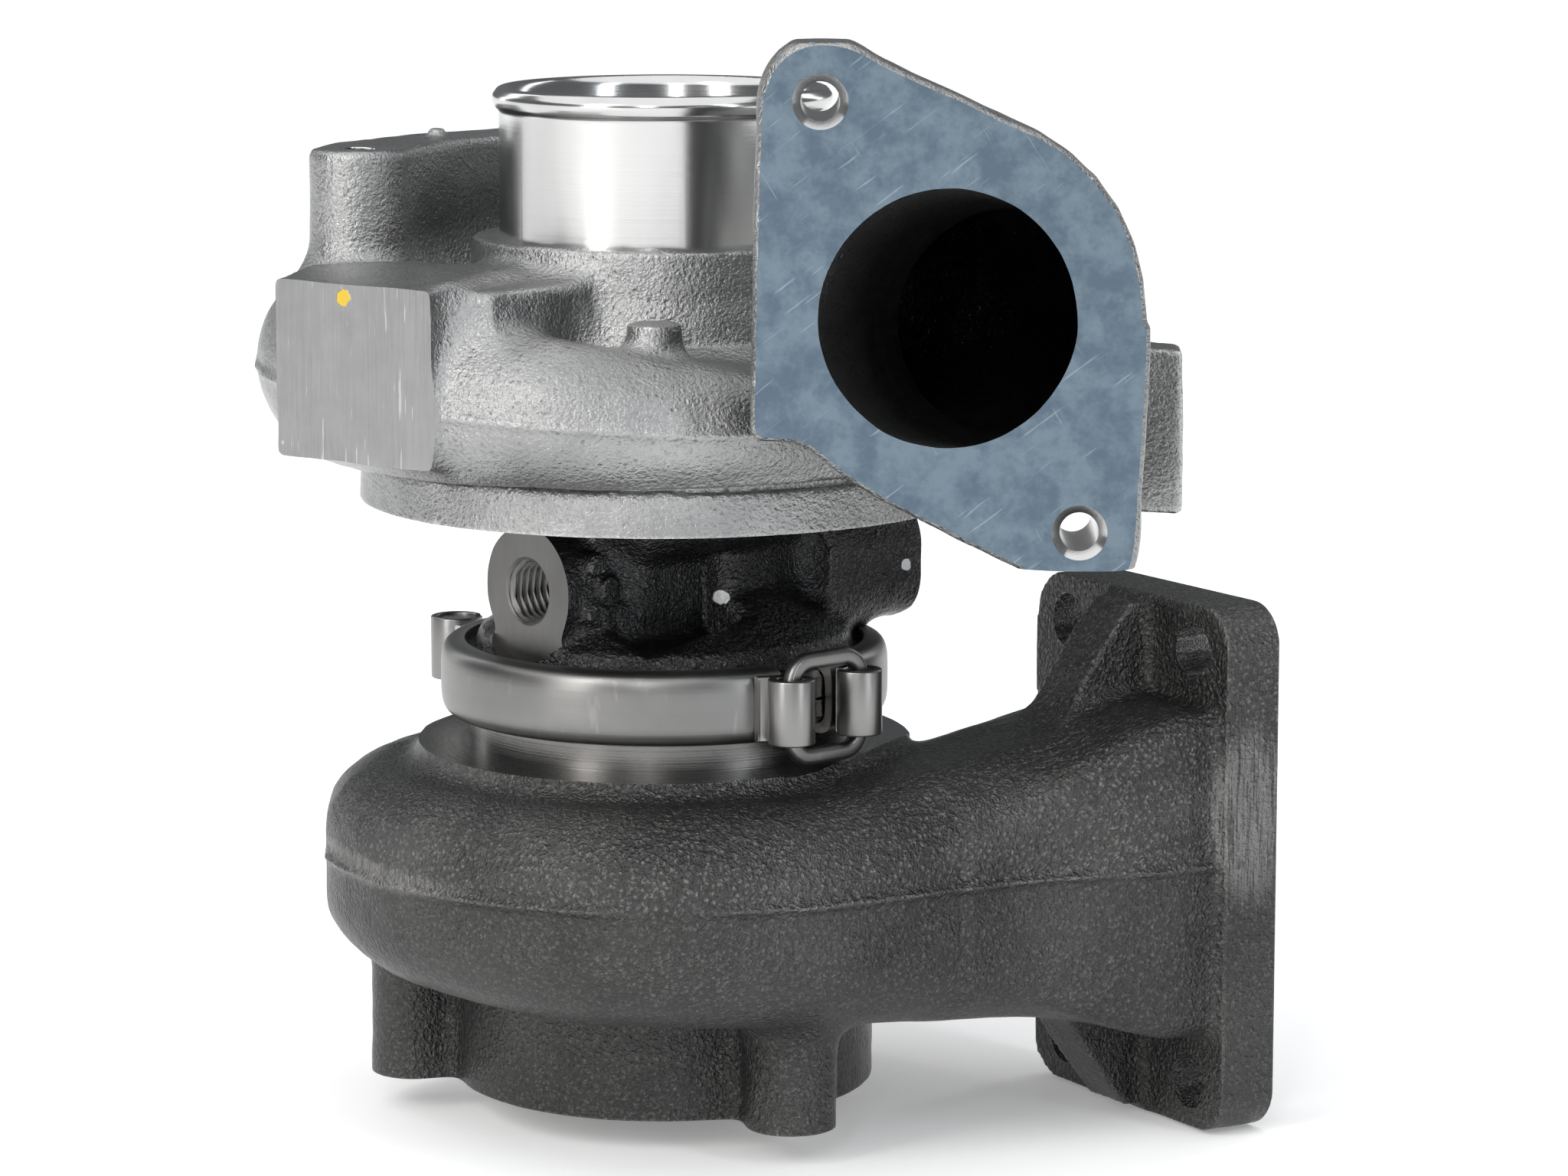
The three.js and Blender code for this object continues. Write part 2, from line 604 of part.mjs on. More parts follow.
// One blade: a ruled sheet between a hub line and a tip line, wrapped round the axis.
function blade(hub, tip, wrap, thick, start) {
  const steps = 5;
  const hubLine = new THREE.SplineCurve(hub.map(([r, z]) => new THREE.Vector2(r, z)));
  const tipLine = new THREE.SplineCurve(tip.map(([r, z]) => new THREE.Vector2(r, z)));
  const rings = [];
  for (let i = 0; i <= steps; i += 1) {
    const share = i / steps;
    const angle = start + wrap(share);
    const root = hubLine.getPoint(share);
    const end = tipLine.getPoint(share);
    const corner = (point, side, width) => {
      const turn = angle + side * width / point.x / 2 / RAD;
      return new THREE.Vector3(...onCircle(point.x, turn, point.y));
    };
    rings.push([corner(root, -1, thick), corner(root, 1, thick), corner(end, 1, thick / 2),
      corner(end, -1, thick / 2)]);
  }
  return loft(rings);
}

function turbineWheel() {
  const hub = lathe([
    [0, 33], [5, 34.2], [6.8, 38], [8.6, 47], [12.5, 54], [18, 58.4], [26.9, 61], [26.9, 62], [0, 62],
  ], 22);
  const root = [[26.3, 61.3], [17, 58.6], [10, 51], [7.6, 43], [6, 36.4]];
  const tip = [[26.9, 54.2], [24.6, 50], [22.3, 45.5], [21.5, 41], [21.4, 36]];
  const wrap = (share) => 48 * share ** 2;
  const blades = Array.from({ length: TURBINE_BLADES }, (_, i) => (
    blade(root, tip, wrap, 1.8, 360 * i / TURBINE_BLADES)
  ));
  return join(hub, ...blades);
}

function compressorWheel() {
  const hub = lathe([
    [0, WHEEL_BACK], [29, WHEEL_BACK], [29, 122.3], [20, 124.4], [13, 129.5], [9.4, 137], [8, 145],
    [7.2, 147], [0, 147],
  ], SMALL);
  const root = [[7.6, 145.2], [8.8, 137.5], [12.6, 129.2], [19, 124.2], [28.5, 122]];
  const tip = [[21.2, 145.4], [21.3, 139], [22.6, 132.5], [25.2, 127.7], [28.9, 124.8]];
  const wrap = (share) => 72 * share - 8 * share ** 2;
  const step = 360 / COMPRESSOR_BLADES;
  const blades = [];
  for (let i = 0; i < COMPRESSOR_BLADES; i += 1) {
    blades.push(blade(root, tip, wrap, 1.2, step * i));
    const shortWrap = (share) => wrap(0.3 + 0.7 * share);
    const shortRoot = [[8.9, 137], [12.6, 129.2], [19, 124.2], [28.5, 122]];
    const shortTip = [[21.4, 138], [22.6, 132.5], [25.2, 127.7], [28.9, 124.8]];
    blades.push(blade(shortRoot, shortTip, shortWrap, 1.2, step * (i + 0.5)));
  }
  return cut(join(hub, ...blades), disc(STUB_R + GAP, WHEEL_BACK - OVER, 150, 16));
}

function compressorNut() {
  const bore = STUB_R + GAP;
  const hexagon = rod([0, 0, 148.4], [0, 0, 153.6], 7.5, 7.5, 6);
  return cut(join(hexagon, disc(7.8, 147.3, 148.9, 24)), disc(bore, 140, 160, 16));
}

function thrustCollar() {
  return ring([[STUB_R + GAP, 107.2], [HUB_R, 107.2], [HUB_R, 109.2], [5.7, 109.2], [5.7, 112.4],
    [STUB_R + GAP, 112.4]], SMALL);
}

function oilThrower() {
  return ring([[STUB_R + GAP, 112.7], [HUB_R, 112.7], [HUB_R, 114.2], [7.5, 114.2], [7.5, 116.3],
    [6, 116.3], [6, 118.3], [7.5, 118.3], [7.5, 121], [STUB_R + GAP, 121]], SMALL);
}

// ---- compressor housing ----

function scrollPassageR(turned) {
  return SCROLL_END_R * Math.sqrt(turned / 360);
}

function scrollSection(turned) {
  const radius = scrollPassageR(turned);
  const side = radial(SCROLL_START - turned);
  const centre = side.clone().multiplyScalar(SCROLL_INNER_R + radius);
  centre.z = FLOOR_Z + radius;
  return { centre, side, radius, square: true };
}

// The discharge duct, from the end of the scroll to the outlet face.
function dischargeSection(share) {
  const start = scrollSection(SCROLL_SWEEP);
  const bend = share ** 1.3;
  const centre = new THREE.Vector3(
    mix(start.centre.x, OUTLET_X, bend),
    mix(0, OUTLET_Y, share),
    mix(start.centre.z, OUTLET_Z, bend),
  );
  return { centre, side: new THREE.Vector3(1, 0, 0), radius: mix(start.radius, SCROLL_END_R, share) };
}

// Round sections whose inner lower quarter is filled out square, where the diffuser comes in.
function scrollRings(sections, wall) {
  const count = 16;
  return sections.map((s) => {
    const round = section(s.centre, s.side, s.radius + wall, s.radius + wall, 1, count);
    const square = section(s.centre, s.side, s.radius + wall, s.radius + wall, 0.4, count);
    return round.map((point, i) => (s.square && i > count / 2 && i < 3 * count / 4 ? square[i] : point));
  });
}

function outletOutline() {
  const shape = new THREE.Shape();
  shape.moveTo(16.5, 132);
  shape.lineTo(17.2, 170);
  shape.quadraticCurveTo(17.5, 185, 18.4, 190);
  shape.quadraticCurveTo(20.5, 198.5, 28.5, 198.8);
  shape.quadraticCurveTo(33, 198.8, 37, 196.6);
  shape.lineTo(66, 183.2);
  shape.quadraticCurveTo(83.8, 173.5, 84.8, 150.5);
  shape.lineTo(85.3, 150);
  shape.lineTo(85.3, 137);
  shape.lineTo(83.4, 112);
  shape.quadraticCurveTo(82.8, 104, 76.5, 103.5);
  shape.lineTo(70, 103.5);
  shape.lineTo(67.8, 105.4);
  shape.lineTo(44, 117.4);
  shape.quadraticCurveTo(34, 122, 28.6, 127.5);
  shape.quadraticCurveTo(25.5, 130, 21, 130);
  shape.lineTo(18, 130);
  shape.closePath();
  return shape;
}

function outletPlate() {
  const settings = { depth: OUTLET_PLATE, bevelEnabled: false, curveSegments: 6 };
  const geometry = new THREE.ExtrudeGeometry(outletOutline(), settings);
  geometry.rotateX(Math.PI / 2);
  geometry.translate(0, OUTLET_Y + OUTLET_PLATE, 0);
  return toSolid(geometry);
}

// The standing wall on the back of the scroll, round at both ends, for a bracket's screws.
function bracketWall() {
  const middle = (WALL_INNER_R + WALL_OUTER_R) / 2;
  const half = (WALL_OUTER_R - WALL_INNER_R) / 2;
  const outline = [];
  for (let a = WALL_TO; a <= WALL_FROM; a += 8.5) outline.push(onCircle(WALL_OUTER_R, a, 0).slice(0, 2));
  for (let a = WALL_FROM; a >= WALL_TO; a -= 8.5) outline.push(onCircle(WALL_INNER_R, a, 0).slice(0, 2));
  const ends = [WALL_TO, WALL_FROM].map((a) => rod(onCircle(middle, a, 126), onCircle(middle, a, WALL_TOP), half));
  return join(prism(outline, 126, WALL_TOP), ...ends);
}

function cornerBlock() {
  const inward = [0.595, 0.804];
  const outline = [
    BLOCK_LEFT, BLOCK_RIGHT,
    [BLOCK_RIGHT[0] + 9, BLOCK_RIGHT[1] + 22],
    [-22, -22],
    [-46, -6],
    [BLOCK_LEFT[0] + inward[0] * 8 - 1.4, BLOCK_LEFT[1] + inward[1] * 34],
  ];
  const saddle = prism([[-36, -50], [-28, -50], [-14, -34], [-14, -20], [-40, -20]], 137, BLOCK_HIGH - 1.5);
  return join(prism(outline, BLOCK_LOW, BLOCK_HIGH), saddle);
}

function compressorHousing() {
  const step = (SCROLL_SWEEP - SCROLL_FIRST) / (SCROLL_RINGS - 1);
  const turns = Array.from({ length: SCROLL_RINGS }, (_, i) => SCROLL_FIRST + step * i);
  const shares = [0.25, 0.5, 0.75, 1];
  const all = [...turns.map(scrollSection), ...shares.map(dischargeSection)];
  const air = [...all];
  air.push({ ...all[all.length - 1], centre: all[all.length - 1].centre.clone().add({ x: 0, y: -OVER, z: 0 }) });
  const shell = join(
    loft(scrollRings(all, ALLOY_WALL)),
    lathe([
      [0, LIP_LOW], [LIP_R, LIP_LOW], [LIP_R, LIP_HIGH], [SCROLL_INNER_R + 12, FLOOR_Z + 3], [47, 138],
      [38, 142], [35.4, 150], [34.6, TUBE_LOW], [TUBE_R, TUBE_LOW], [TUBE_R, BEAD_LOW], [BEAD_R, BEAD_LOW + 0.8],
      [BEAD_R, INLET_TOP - 0.8], [BEAD_R - 0.8, INLET_TOP], [0, INLET_TOP],
    ]),
    outletPlate(),
    bracketWall(),
    cornerBlock(),
    rod([-0.6, -47, 136], [-0.6, -47, 147.5], 5.6, 4.8),
    ...OUTLET_BOLTS.map(([x, z], i) => (
      rod([x, OUTLET_Y + 4, z + (i ? -1.2 : 1.3)], [x, OUTLET_Y + 24, z + (i ? -1.2 : 1.3)], i ? 9.4 : 8.8, 8)
    )),
    prism([[70, -34], [94, -41], [94, -31], [70, -20]], 112, 142),
  );
  const passage = loft(scrollRings(air, 0));
  const bores = lathe([
    [0, LIP_LOW - OVER], [51.8, LIP_LOW - OVER], [51.8, LIP_LOW + 0.5], [50, LIP_LOW + 0.5], [50, 111.1],
    [51.8, 111.1], [51.8, 112.7], [50, 112.7], [50, FLOOR_Z], [44, FLOOR_Z], [44, ROOF_Z], [29.4, ROOF_Z],
    [25.6, 128.1], [23, 132.9], [21.8, 139], [21.7, 150], [27.4, 165], [INLET_BORE_R, INLET_TOP + OVER],
    [0, INLET_TOP + OVER],
  ]);
  const outletBolts = OUTLET_BOLTS.map(([x, z]) => (
    rod([x, OUTLET_Y - OVER, z], [x, OUTLET_Y + 26, z], OUTLET_BOLT_R, OUTLET_BOLT_R, 16)
  ));
  const wallBolts = [WALL_TO, WALL_FROM].map((a) => (
    rod(onCircle(57.5, a, WALL_TOP - 14), onCircle(57.5, a, WALL_TOP + OVER), OUTLET_BOLT_R, OUTLET_BOLT_R, 16)
  ));
  return cut(shell, passage, bores, ...outletBolts, ...wallBolts);
}

// ---- materials and assembly ----

function finish(color, roughness, metalness) {
  return () => new THREE.MeshStandardMaterial({ color, roughness, metalness });
}

const castAlloy = finish(0xb8babb, 0.5, 0.9);
const castIron = finish(0x4c4b49, 0.65, 0.8);
const blackIron = finish(0x29292a, 0.45, 0.7);
const stainless = finish(0x9b9790, 0.35, 1);
const steel = finish(0x8f9092, 0.3, 1);
const springSteel = finish(0x3f4043, 0.4, 0.9);
const nickelAlloy = finish(0x76706a, 0.45, 1);
const wheelAlloy = finish(0xc4c6c8, 0.3, 1);
const bronze = finish(0xb1884e, 0.35, 1);
const rubber = finish(0x191919, 0.8, 0);

const turbo = new THREE.Group();
const aboutAxis = new THREE.Group();
aboutAxis.position.set(AXIS_X, AXIS_Y, BASE_Z);
turbo.add(aboutAxis);

function addPiece(name, body, material) {
  const mesh = new THREE.Mesh(toGeometry(body), material());
  mesh.name = name;
  aboutAxis.add(mesh);
}

addPiece('compressor_housing', compressorHousing(), castAlloy);
addPiece('compressor_housing_o_ring', washer(48.1, 49.6, 116.2, 118.3), rubber);
addPiece('compressor_snap_ring', splitRing(47.6, 51.4, 111.4, 112.6, 9, 200, ROUND), springSteel);
addPiece('seal_plate', sealPlate(), castAlloy);
addPiece('seal_plate_o_ring', washer(23, 24.4, 116.2, 117.6, SMALL), rubber);
addPiece('seal_plate_snap_ring', splitRing(22, 26.1, 119.1, 119.9, 7, 20), springSteel);
addPiece('bearing_housing', bearingHousing(), blackIron);
addPiece('oil_deflector', oilDeflector(), steel);
addPiece('thrust_bearing', thrustBearing(), bronze);
addPiece('heat_shield', heatShield(), stainless);
addPiece('turbine_piston_ring', splitRing(7.9, 9.35, 67.7, 69.5, 1, 90), springSteel);
addPiece('compressor_piston_ring', splitRing(6.3, 7.6, 116.5, 118.1, 1, 270), springSteel);
[78.3, 87.7, 94.8, 105.2].forEach((low, i) => {
  addPiece(`journal_circlip_${i + 1}`, splitRing(6.7, 9, low, low + 1, 6, 90 * i), springSteel);
});
addPiece('journal_bearing_turbine_side', washer(JOURNAL_R + RUN, BUSH_R, 79.5, 87.5, FINE), bronze);
addPiece('journal_bearing_compressor_side', washer(JOURNAL_R + RUN, BUSH_R, 96, 105, FINE), bronze);
addPiece('turbine_housing', turbineHousing(), castIron);
addPiece('locating_pin', locatingPin(), steel);
addPiece('v_band_front_half', bandFront(), stainless);
addPiece('v_band_rear_half', bandRear(), stainless);
addPiece('clamp_link', clampLink(), stainless);
addPiece('clamp_t_bolt', tBolt(), steel);
addPiece('clamp_barrel', clampBarrel(), steel);
addPiece('clamp_nut', clampNut(), steel);
addPiece('rotor_shaft', rotorShaft(), steel);
addPiece('turbine_wheel', turbineWheel(), nickelAlloy);
addPiece('compressor_wheel', compressorWheel(), wheelAlloy);
addPiece('compressor_nut', compressorNut(), steel);
addPiece('thrust_collar', thrustCollar(), steel);
addPiece('oil_thrower', oilThrower(), steel);

export default turbo;
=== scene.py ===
"""The looks of an oil-cooled turbocharger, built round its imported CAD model.

Shapes are worked out in millimetres about the rotor axis: x = y = 0 on the axis, z = 0 on the
turbine outlet face and z growing towards the compressor inlet. Castings are distance fields that
are blended, hollowed and meshed, then machined with crisp cutters.
"""
import json
import math
import bmesh
import bpy
import numpy as np
import openvdb
from mathutils import Matrix, Vector


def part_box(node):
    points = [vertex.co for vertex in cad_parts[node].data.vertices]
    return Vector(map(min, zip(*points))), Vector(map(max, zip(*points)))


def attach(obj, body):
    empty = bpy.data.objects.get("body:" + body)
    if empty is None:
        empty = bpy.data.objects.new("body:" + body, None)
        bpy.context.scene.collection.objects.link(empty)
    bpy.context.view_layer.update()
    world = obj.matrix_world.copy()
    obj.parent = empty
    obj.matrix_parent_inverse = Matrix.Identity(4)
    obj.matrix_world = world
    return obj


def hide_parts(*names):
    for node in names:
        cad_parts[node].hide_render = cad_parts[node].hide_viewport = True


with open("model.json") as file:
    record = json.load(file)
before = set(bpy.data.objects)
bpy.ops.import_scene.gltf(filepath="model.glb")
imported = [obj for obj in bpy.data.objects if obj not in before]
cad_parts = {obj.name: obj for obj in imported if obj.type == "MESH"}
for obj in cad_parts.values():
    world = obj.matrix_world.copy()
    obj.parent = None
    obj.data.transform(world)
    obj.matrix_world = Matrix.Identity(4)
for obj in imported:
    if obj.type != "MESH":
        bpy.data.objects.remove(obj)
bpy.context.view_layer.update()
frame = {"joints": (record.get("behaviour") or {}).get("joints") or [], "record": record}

JOINTS = {joint["name"]: joint for joint in frame["joints"]}
MOUNTS = {mount["name"]: mount for mount in frame["record"]["mounts"]}
ORIGIN = np.array([
    *JOINTS["rotor_spin"]["pos_m"][:2], MOUNTS["turbine_outlet_face"]["pos_m"][2],
]) * 1000
GRAIN_STEP = 0.7
ROUND = 96
TURN = 2 * math.pi

# Turbine housing
VOLUTE_START = -58
VOLUTE_SWEEP = 325
VOLUTE_R = (69, 55.5)
VOLUTE_WIDE = (19.5, 9)
VOLUTE_TALL = (20.8, 11.8)
VOLUTE_END_Z = 47
DUCT_OFFSET = 49.5
DUCT_ANGLE = 32
DUCT_MOUTH_WIDE = 20
DUCT_MOUTH_TALL = 29
FLANGE_BACK = 71.7
FLANGE_THICK = 11.8
FLANGE_HALF = (30.5, 49.35)
FLANGE_BOLTS = (19.85, 40.5)
FLANGE_BOLT_R = 5.2
FLANGE_MID_Z = 43.55
FLANGE_PORT = (15.5, 24.5)
TURBINE_MID_Z = 41
IRON_SEAM_Z = 45.5
IRON_WALL = 4.5
OUTLET_R = 39
BOSS_RING_R = 47.5
BOSS_R = 8.2
BOSS_ANGLES = (60, 180, 300)
PAD_R = 46
PAD_TOP = 64.4
NECK_R = 36.5
V_FLANGE_R = 39.8
V_FACE = 76.45
PIN_CIRCLE_R = 36.2
PIN_ANGLE = 20
M8_THREAD = (3.1, 3.6, 1.25)

# V-band clamp
BAND_R = 41.85
BAND_LOW = 69.8
BAND_HIGH = 83.5
BAND_MID = (BAND_LOW + BAND_HIGH) / 2
BAND_SHEET = 1.6
BAND_INNER_R = 37.4
LINK_ANGLE = -50
LINK_R = 46.5
LINK_HALF = 8
LINK_WIRE = 3
LINK_TALL = 20.6
LINK_LOOP_R = 4.3
BOLT_ANGLE = 127
BOLT_LINE_R = 46.2
BOLT_R = 2.95
BOLT_REACH = 16
BOLT_END = 42
HEAD_LOOP_R = 5
BARREL_LOOP_R = 6.6
BARREL_BORE = 4.3
LOOP_TALL = 12

# Bearing housing and rotor
OIL_ANGLE = 41
OIL_IN_REACH = 32.5
OIL_IN_Z = 95.3
OIL_IN_R = 12
DRAIN_REACH = 45
DRAIN_HALF = 22
DRAIN_Z = 96
PLATE_R = 49.7
PLATE_LOW = 113
PLATE_HIGH = 120.8
INSERT_BORE = 24.8
BUSH_R = 8.1
JOURNAL_R = 5.5
STUB_R = 4
HUB_R = 9.2
RELIEF_R = 9.3
GAP = 0.3

# Compressor housing
LIP_R = 56.4
LIP_LOW = 110.5
LIP_HIGH = 118.5
SKIRT_LOW = 120.2
FLOOR_Z = 121
ROOF_Z = 125.2
SCROLL_INNER_R = 43.5
SCROLL_END_R = 22.3
SCROLL_START = -30
SCROLL_SWEEP = 330
ALLOY_WALL = 3.2
TUBE_R = 30.2
TUBE_LOW = 158.6
BEAD_R = 31.4
BEAD_LOW = 183
INLET_TOP = 186.3
OUTLET_X = 50.5
OUTLET_Z = 151.6
OUTLET_Y = -75
OUTLET_BOLTS = ((28.6, 188.7), (73.4, 114.4))
BLOCK_RIGHT = (-39.3, -58)
BLOCK_LEFT = (-67.7, -37)
BLOCK_INWARD = (0.595, 0.804)
BLOCK_LOW = 122.7
BLOCK_HIGH = 154.4
WALL_INNER_R = 48.5
WALL_OUTER_R = 66.5
WALL_TOP = 174
WALL_FROM = 172
WALL_TO = 104

# Studio
CAMERA_PLACE = (22.4, -983.7, 254.9)
CAMERA_PITCH = 9.38
LENS = 122.34
LIGHT_TARGET = (0, 0, 0.1)
FLOOR_HALF = 30000
FLOOR_Z_BELOW = -5.8


def radial(degrees):
    turn = math.radians(degrees)
    return np.array([math.cos(turn), math.sin(turn)])


def on_circle(radius, degrees, z):
    return (*(radius * radial(degrees)), z)


def mix(a, b, share):
    return a + (b - a) * share


# ---- distance fields ----

class Solid:
    """Samples of a signed distance, negative inside."""

    def __init__(self, depth):
        self.depth = np.asarray(depth, dtype=np.float32)

    def __or__(self, other):
        return Solid(np.minimum(self.depth, other.depth))

    def __and__(self, other):
        return Solid(np.maximum(self.depth, other.depth))

    def __sub__(self, other):
        return Solid(np.maximum(self.depth, -other.depth))

    def fillet(self, other, width):
        """Joined with a fillet about as wide as width."""
        near = np.maximum(width - np.abs(self.depth - other.depth), 0) / width
        return Solid(np.minimum(self.depth, other.depth) - near * near * width / 4)

    def carve(self, other, width):
        """Cut away with a rounded edge."""
        near = np.maximum(width - np.abs(self.depth + other.depth), 0) / width
        return Solid(np.maximum(self.depth, -other.depth) + near * near * width / 4)


def rounded(across, along, half_across, half_along, corner):
    """Distance to a rectangle with round corners."""
    a = np.abs(across) - (half_across - corner)
    b = np.abs(along) - (half_along - corner)
    outside = np.hypot(np.maximum(a, 0), np.maximum(b, 0))
    return outside + np.minimum(np.maximum(a, b), 0) - corner


def to_outline(x, y, outline):
    """Distance from points to a closed polygon in the plane."""
    nearest = np.full(np.broadcast(x, y).shape, 1e9, dtype=np.float32)
    inside = np.zeros(nearest.shape, dtype=bool)
    corners = np.asarray(outline, dtype=np.float32)
    for (ax, ay), (bx, by) in zip(corners, np.roll(corners, -1, axis=0)):
        ex, ey = bx - ax, by - ay
        share = np.clip(((x - ax) * ex + (y - ay) * ey) / (ex * ex + ey * ey), 0, 1)
        nearest = np.minimum(nearest, np.hypot(x - ax - share * ex, y - ay - share * ey))
        if ay != by:
            crosses = ((y < ay) != (y < by)) & (x < ax + (y - ay) * ex / ey)
            inside ^= crosses
    return np.where(inside, -nearest, nearest)


class Room:
    """A block of sample points, and the solids that can be drawn in it."""

    def __init__(self, low, high, step):
        self.low = np.array(low, dtype=np.float32)
        self.step = step
        axes = [np.arange(a, b + step, step, dtype=np.float32) for a, b in zip(low, high)]
        self.x = axes[0][:, None, None]
        self.y = axes[1][None, :, None]
        self.z = axes[2][None, None, :]
        self.r = np.hypot(self.x, self.y)
        self.angle = np.degrees(np.arctan2(self.y, self.x))

    def turned(self, profile, corner=0.0):
        """A (radius, z) outline turned about the rotor axis."""
        reach = np.arange(0, float(self.r.max()) + 1, 0.4, dtype=np.float32)
        table = to_outline(reach[:, None], self.z[0], profile) - corner
        place = self.r[:, :, 0] / 0.4
        lower = place.astype(int)
        share = (place - lower)[:, :, None]
        return Solid(table[lower] * (1 - share) + table[lower + 1] * share)

    def upright(self, outline, low, high, corner=0.0):
        """A prism over a plan outline, with rounded edges."""
        plan = to_outline(self.x, self.y, outline) + corner
        tall = np.abs(self.z - (low + high) / 2) - (high - low) / 2 + corner
        outside = np.hypot(np.maximum(plan, 0), np.maximum(tall, 0))
        return Solid(outside + np.minimum(np.maximum(plan, tall), 0) - corner)

    def bar(self, start, end, radius, end_radius=None):
        """A round bar with flat ends."""
        start, end = np.array(start, dtype=float), np.array(end, dtype=float)
        length = np.linalg.norm(end - start)
        way = (end - start) / length
        dx, dy, dz = self.x - start[0], self.y - start[1], self.z - start[2]
        along = dx * way[0] + dy * way[1] + dz * way[2]
        off = np.sqrt(np.maximum(dx * dx + dy * dy + dz * dz - along * along, 0))
        reach = radius if end_radius is None else mix(radius, end_radius, along / length)
        side, cap = off - reach, np.abs(along - length / 2) - length / 2
        outside = np.hypot(np.maximum(side, 0), np.maximum(cap, 0))
        return Solid(outside + np.minimum(np.maximum(side, cap), 0))

    def facing(self, degrees):
        """Distances out along a bearing and across it."""
        out, across = radial(degrees), radial(degrees + 90)
        return self.x * out[0] + self.y * out[1], self.x * across[0] + self.y * across[1]

    def wobble(self, size, depth, seed):
        """Slow unevenness of a sand mould."""
        random = np.random.default_rng(seed)
        shape = [int(n * self.step / size) + 3 for n in np.broadcast(self.x, self.y, self.z).shape]
        field = random.uniform(-1, 1, shape).astype(np.float32)
        for axis, line in enumerate((self.x[:, 0, 0], self.y[0, :, 0], self.z[0, 0, :])):
            place = (line - line[0]) / size
            lower = place.astype(int)
            share = place - lower
            share = share * share * (3 - 2 * share)
            reach = [1, 1, 1]
            reach[axis] = -1
            share = share.reshape(reach)
            field = np.take(field, lower, axis) * (1 - share) + np.take(field, lower + 1, axis) * share
        return depth * field

    def kept_inside(self, solid, node, spare_front=0):
        """The solid trimmed to the box of its CAD node, with stock left on the front to machine."""
        low, high = (np.array(corner) * 1000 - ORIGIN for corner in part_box(node))
        low[1] -= spare_front
        low[2] -= spare_front
        trim = 0.02
        for line, a, b in zip((self.x, self.y, self.z), low + trim, high - trim):
            solid = solid & Solid(np.maximum(a - line, line - b))
        return solid

    def surface(self, solid):
        """The points and four-sided faces of a solid's skin."""
        limit = 3 * self.step
        depth = np.broadcast_to(solid.depth, np.broadcast(self.x, self.y, self.z).shape)
        grid = openvdb.FloatGrid(limit)
        grid.copyFromArray(np.ascontiguousarray(np.clip(depth, -limit, limit), dtype=np.float32))
        points, quads = grid.convertToQuads(0.0)
        return points * self.step + self.low, quads


# ---- meshes ----

def new_object(name, shape, material):
    """A Blender object from a shape, which is points in millimetres about the rotor axis and faces."""
    points, faces = shape
    mesh = bpy.data.meshes.new(name)
    places = (np.asarray(points, dtype=np.float64) + ORIGIN) / 1000
    if isinstance(faces, np.ndarray):
        count, sides = faces.shape
        mesh.vertices.add(len(places))
        mesh.vertices.foreach_set("co", places.astype(np.float32).ravel())
        mesh.loops.add(count * sides)
        mesh.loops.foreach_set("vertex_index", faces.astype(np.int32).ravel())
        mesh.polygons.add(count)
        mesh.polygons.foreach_set("loop_start", np.arange(0, count * sides, sides, dtype=np.int32))
        mesh.update(calc_edges=True)
    else:
        mesh.from_pydata(places.tolist(), [], faces)
    mesh.validate()
    if not isinstance(faces, np.ndarray):
        weld = bmesh.new()
        weld.from_mesh(mesh)
        bmesh.ops.remove_doubles(weld, verts=weld.verts, dist=1e-7)
        weld.to_mesh(mesh)
        weld.free()
    mesh.materials.append(material)
    thing = bpy.data.objects.new(name, mesh)
    bpy.context.scene.collection.objects.link(thing)
    return thing


def skin(rings, closed=False, capped=True):
    """Points and faces of a skin through rings that have equal numbers of points."""
    count = len(rings[0])
    points = [tuple(point) for ring in rings for point in ring]
    faces = []
    spans = len(rings) if closed else len(rings) - 1
    for k in range(spans):
        here, there = k * count, (k + 1) % len(rings) * count
        for j in range(count):
            after = (j + 1) % count
            faces.append((here + j, here + after, there + after, there + j))
    if capped and not closed:
        faces.append(tuple(reversed(range(count))))
        faces.append(tuple(range((len(rings) - 1) * count, len(rings) * count)))
    return points, faces


def facing_out(points, faces):
    """The faces turned so that they face outwards."""
    places = np.asarray(points, dtype=float)
    volume = 0.0
    for face in faces:
        corners = places[list(face)]
        centre = corners[0]
        for second, third in zip(corners[1:-1], corners[2:]):
            volume += float(np.dot(centre, np.cross(second, third)))
    return faces if volume > 0 else [tuple(reversed(face)) for face in faces]


def turned_shape(profile, start=0.0, end=360.0, sides=ROUND):
    """A closed (radius, z) outline swept about the rotor axis, whole or part way."""
    whole = end - start >= 360
    steps = max(3, round(sides * (end - start) / 360))
    turns = [start + (end - start) * i / steps for i in range(steps if whole else steps + 1)]
    rings = [[on_circle(r, a, z) for r, z in profile] for a in turns]
    points, faces = skin(rings, closed=whole)
    return points, facing_out(points, faces)


def softened(outline, radius, steps=3):
    """A closed outline with its corners rounded off."""
    corners = np.asarray(outline, dtype=float)
    result = []
    for before, corner, after in zip(np.roll(corners, 1, 0), corners, np.roll(corners, -1, 0)):
        back, on = before - corner, after - corner
        reach = min(radius, np.linalg.norm(back) * 0.45, np.linalg.norm(on) * 0.45)
        first = corner + back / np.linalg.norm(back) * reach
        last = corner + on / np.linalg.norm(on) * reach
        for i in range(steps + 1):
            share = i / steps
            point = (1 - share) ** 2 * first + 2 * share * (1 - share) * corner + share ** 2 * last
            result.append(tuple(point))
    return result


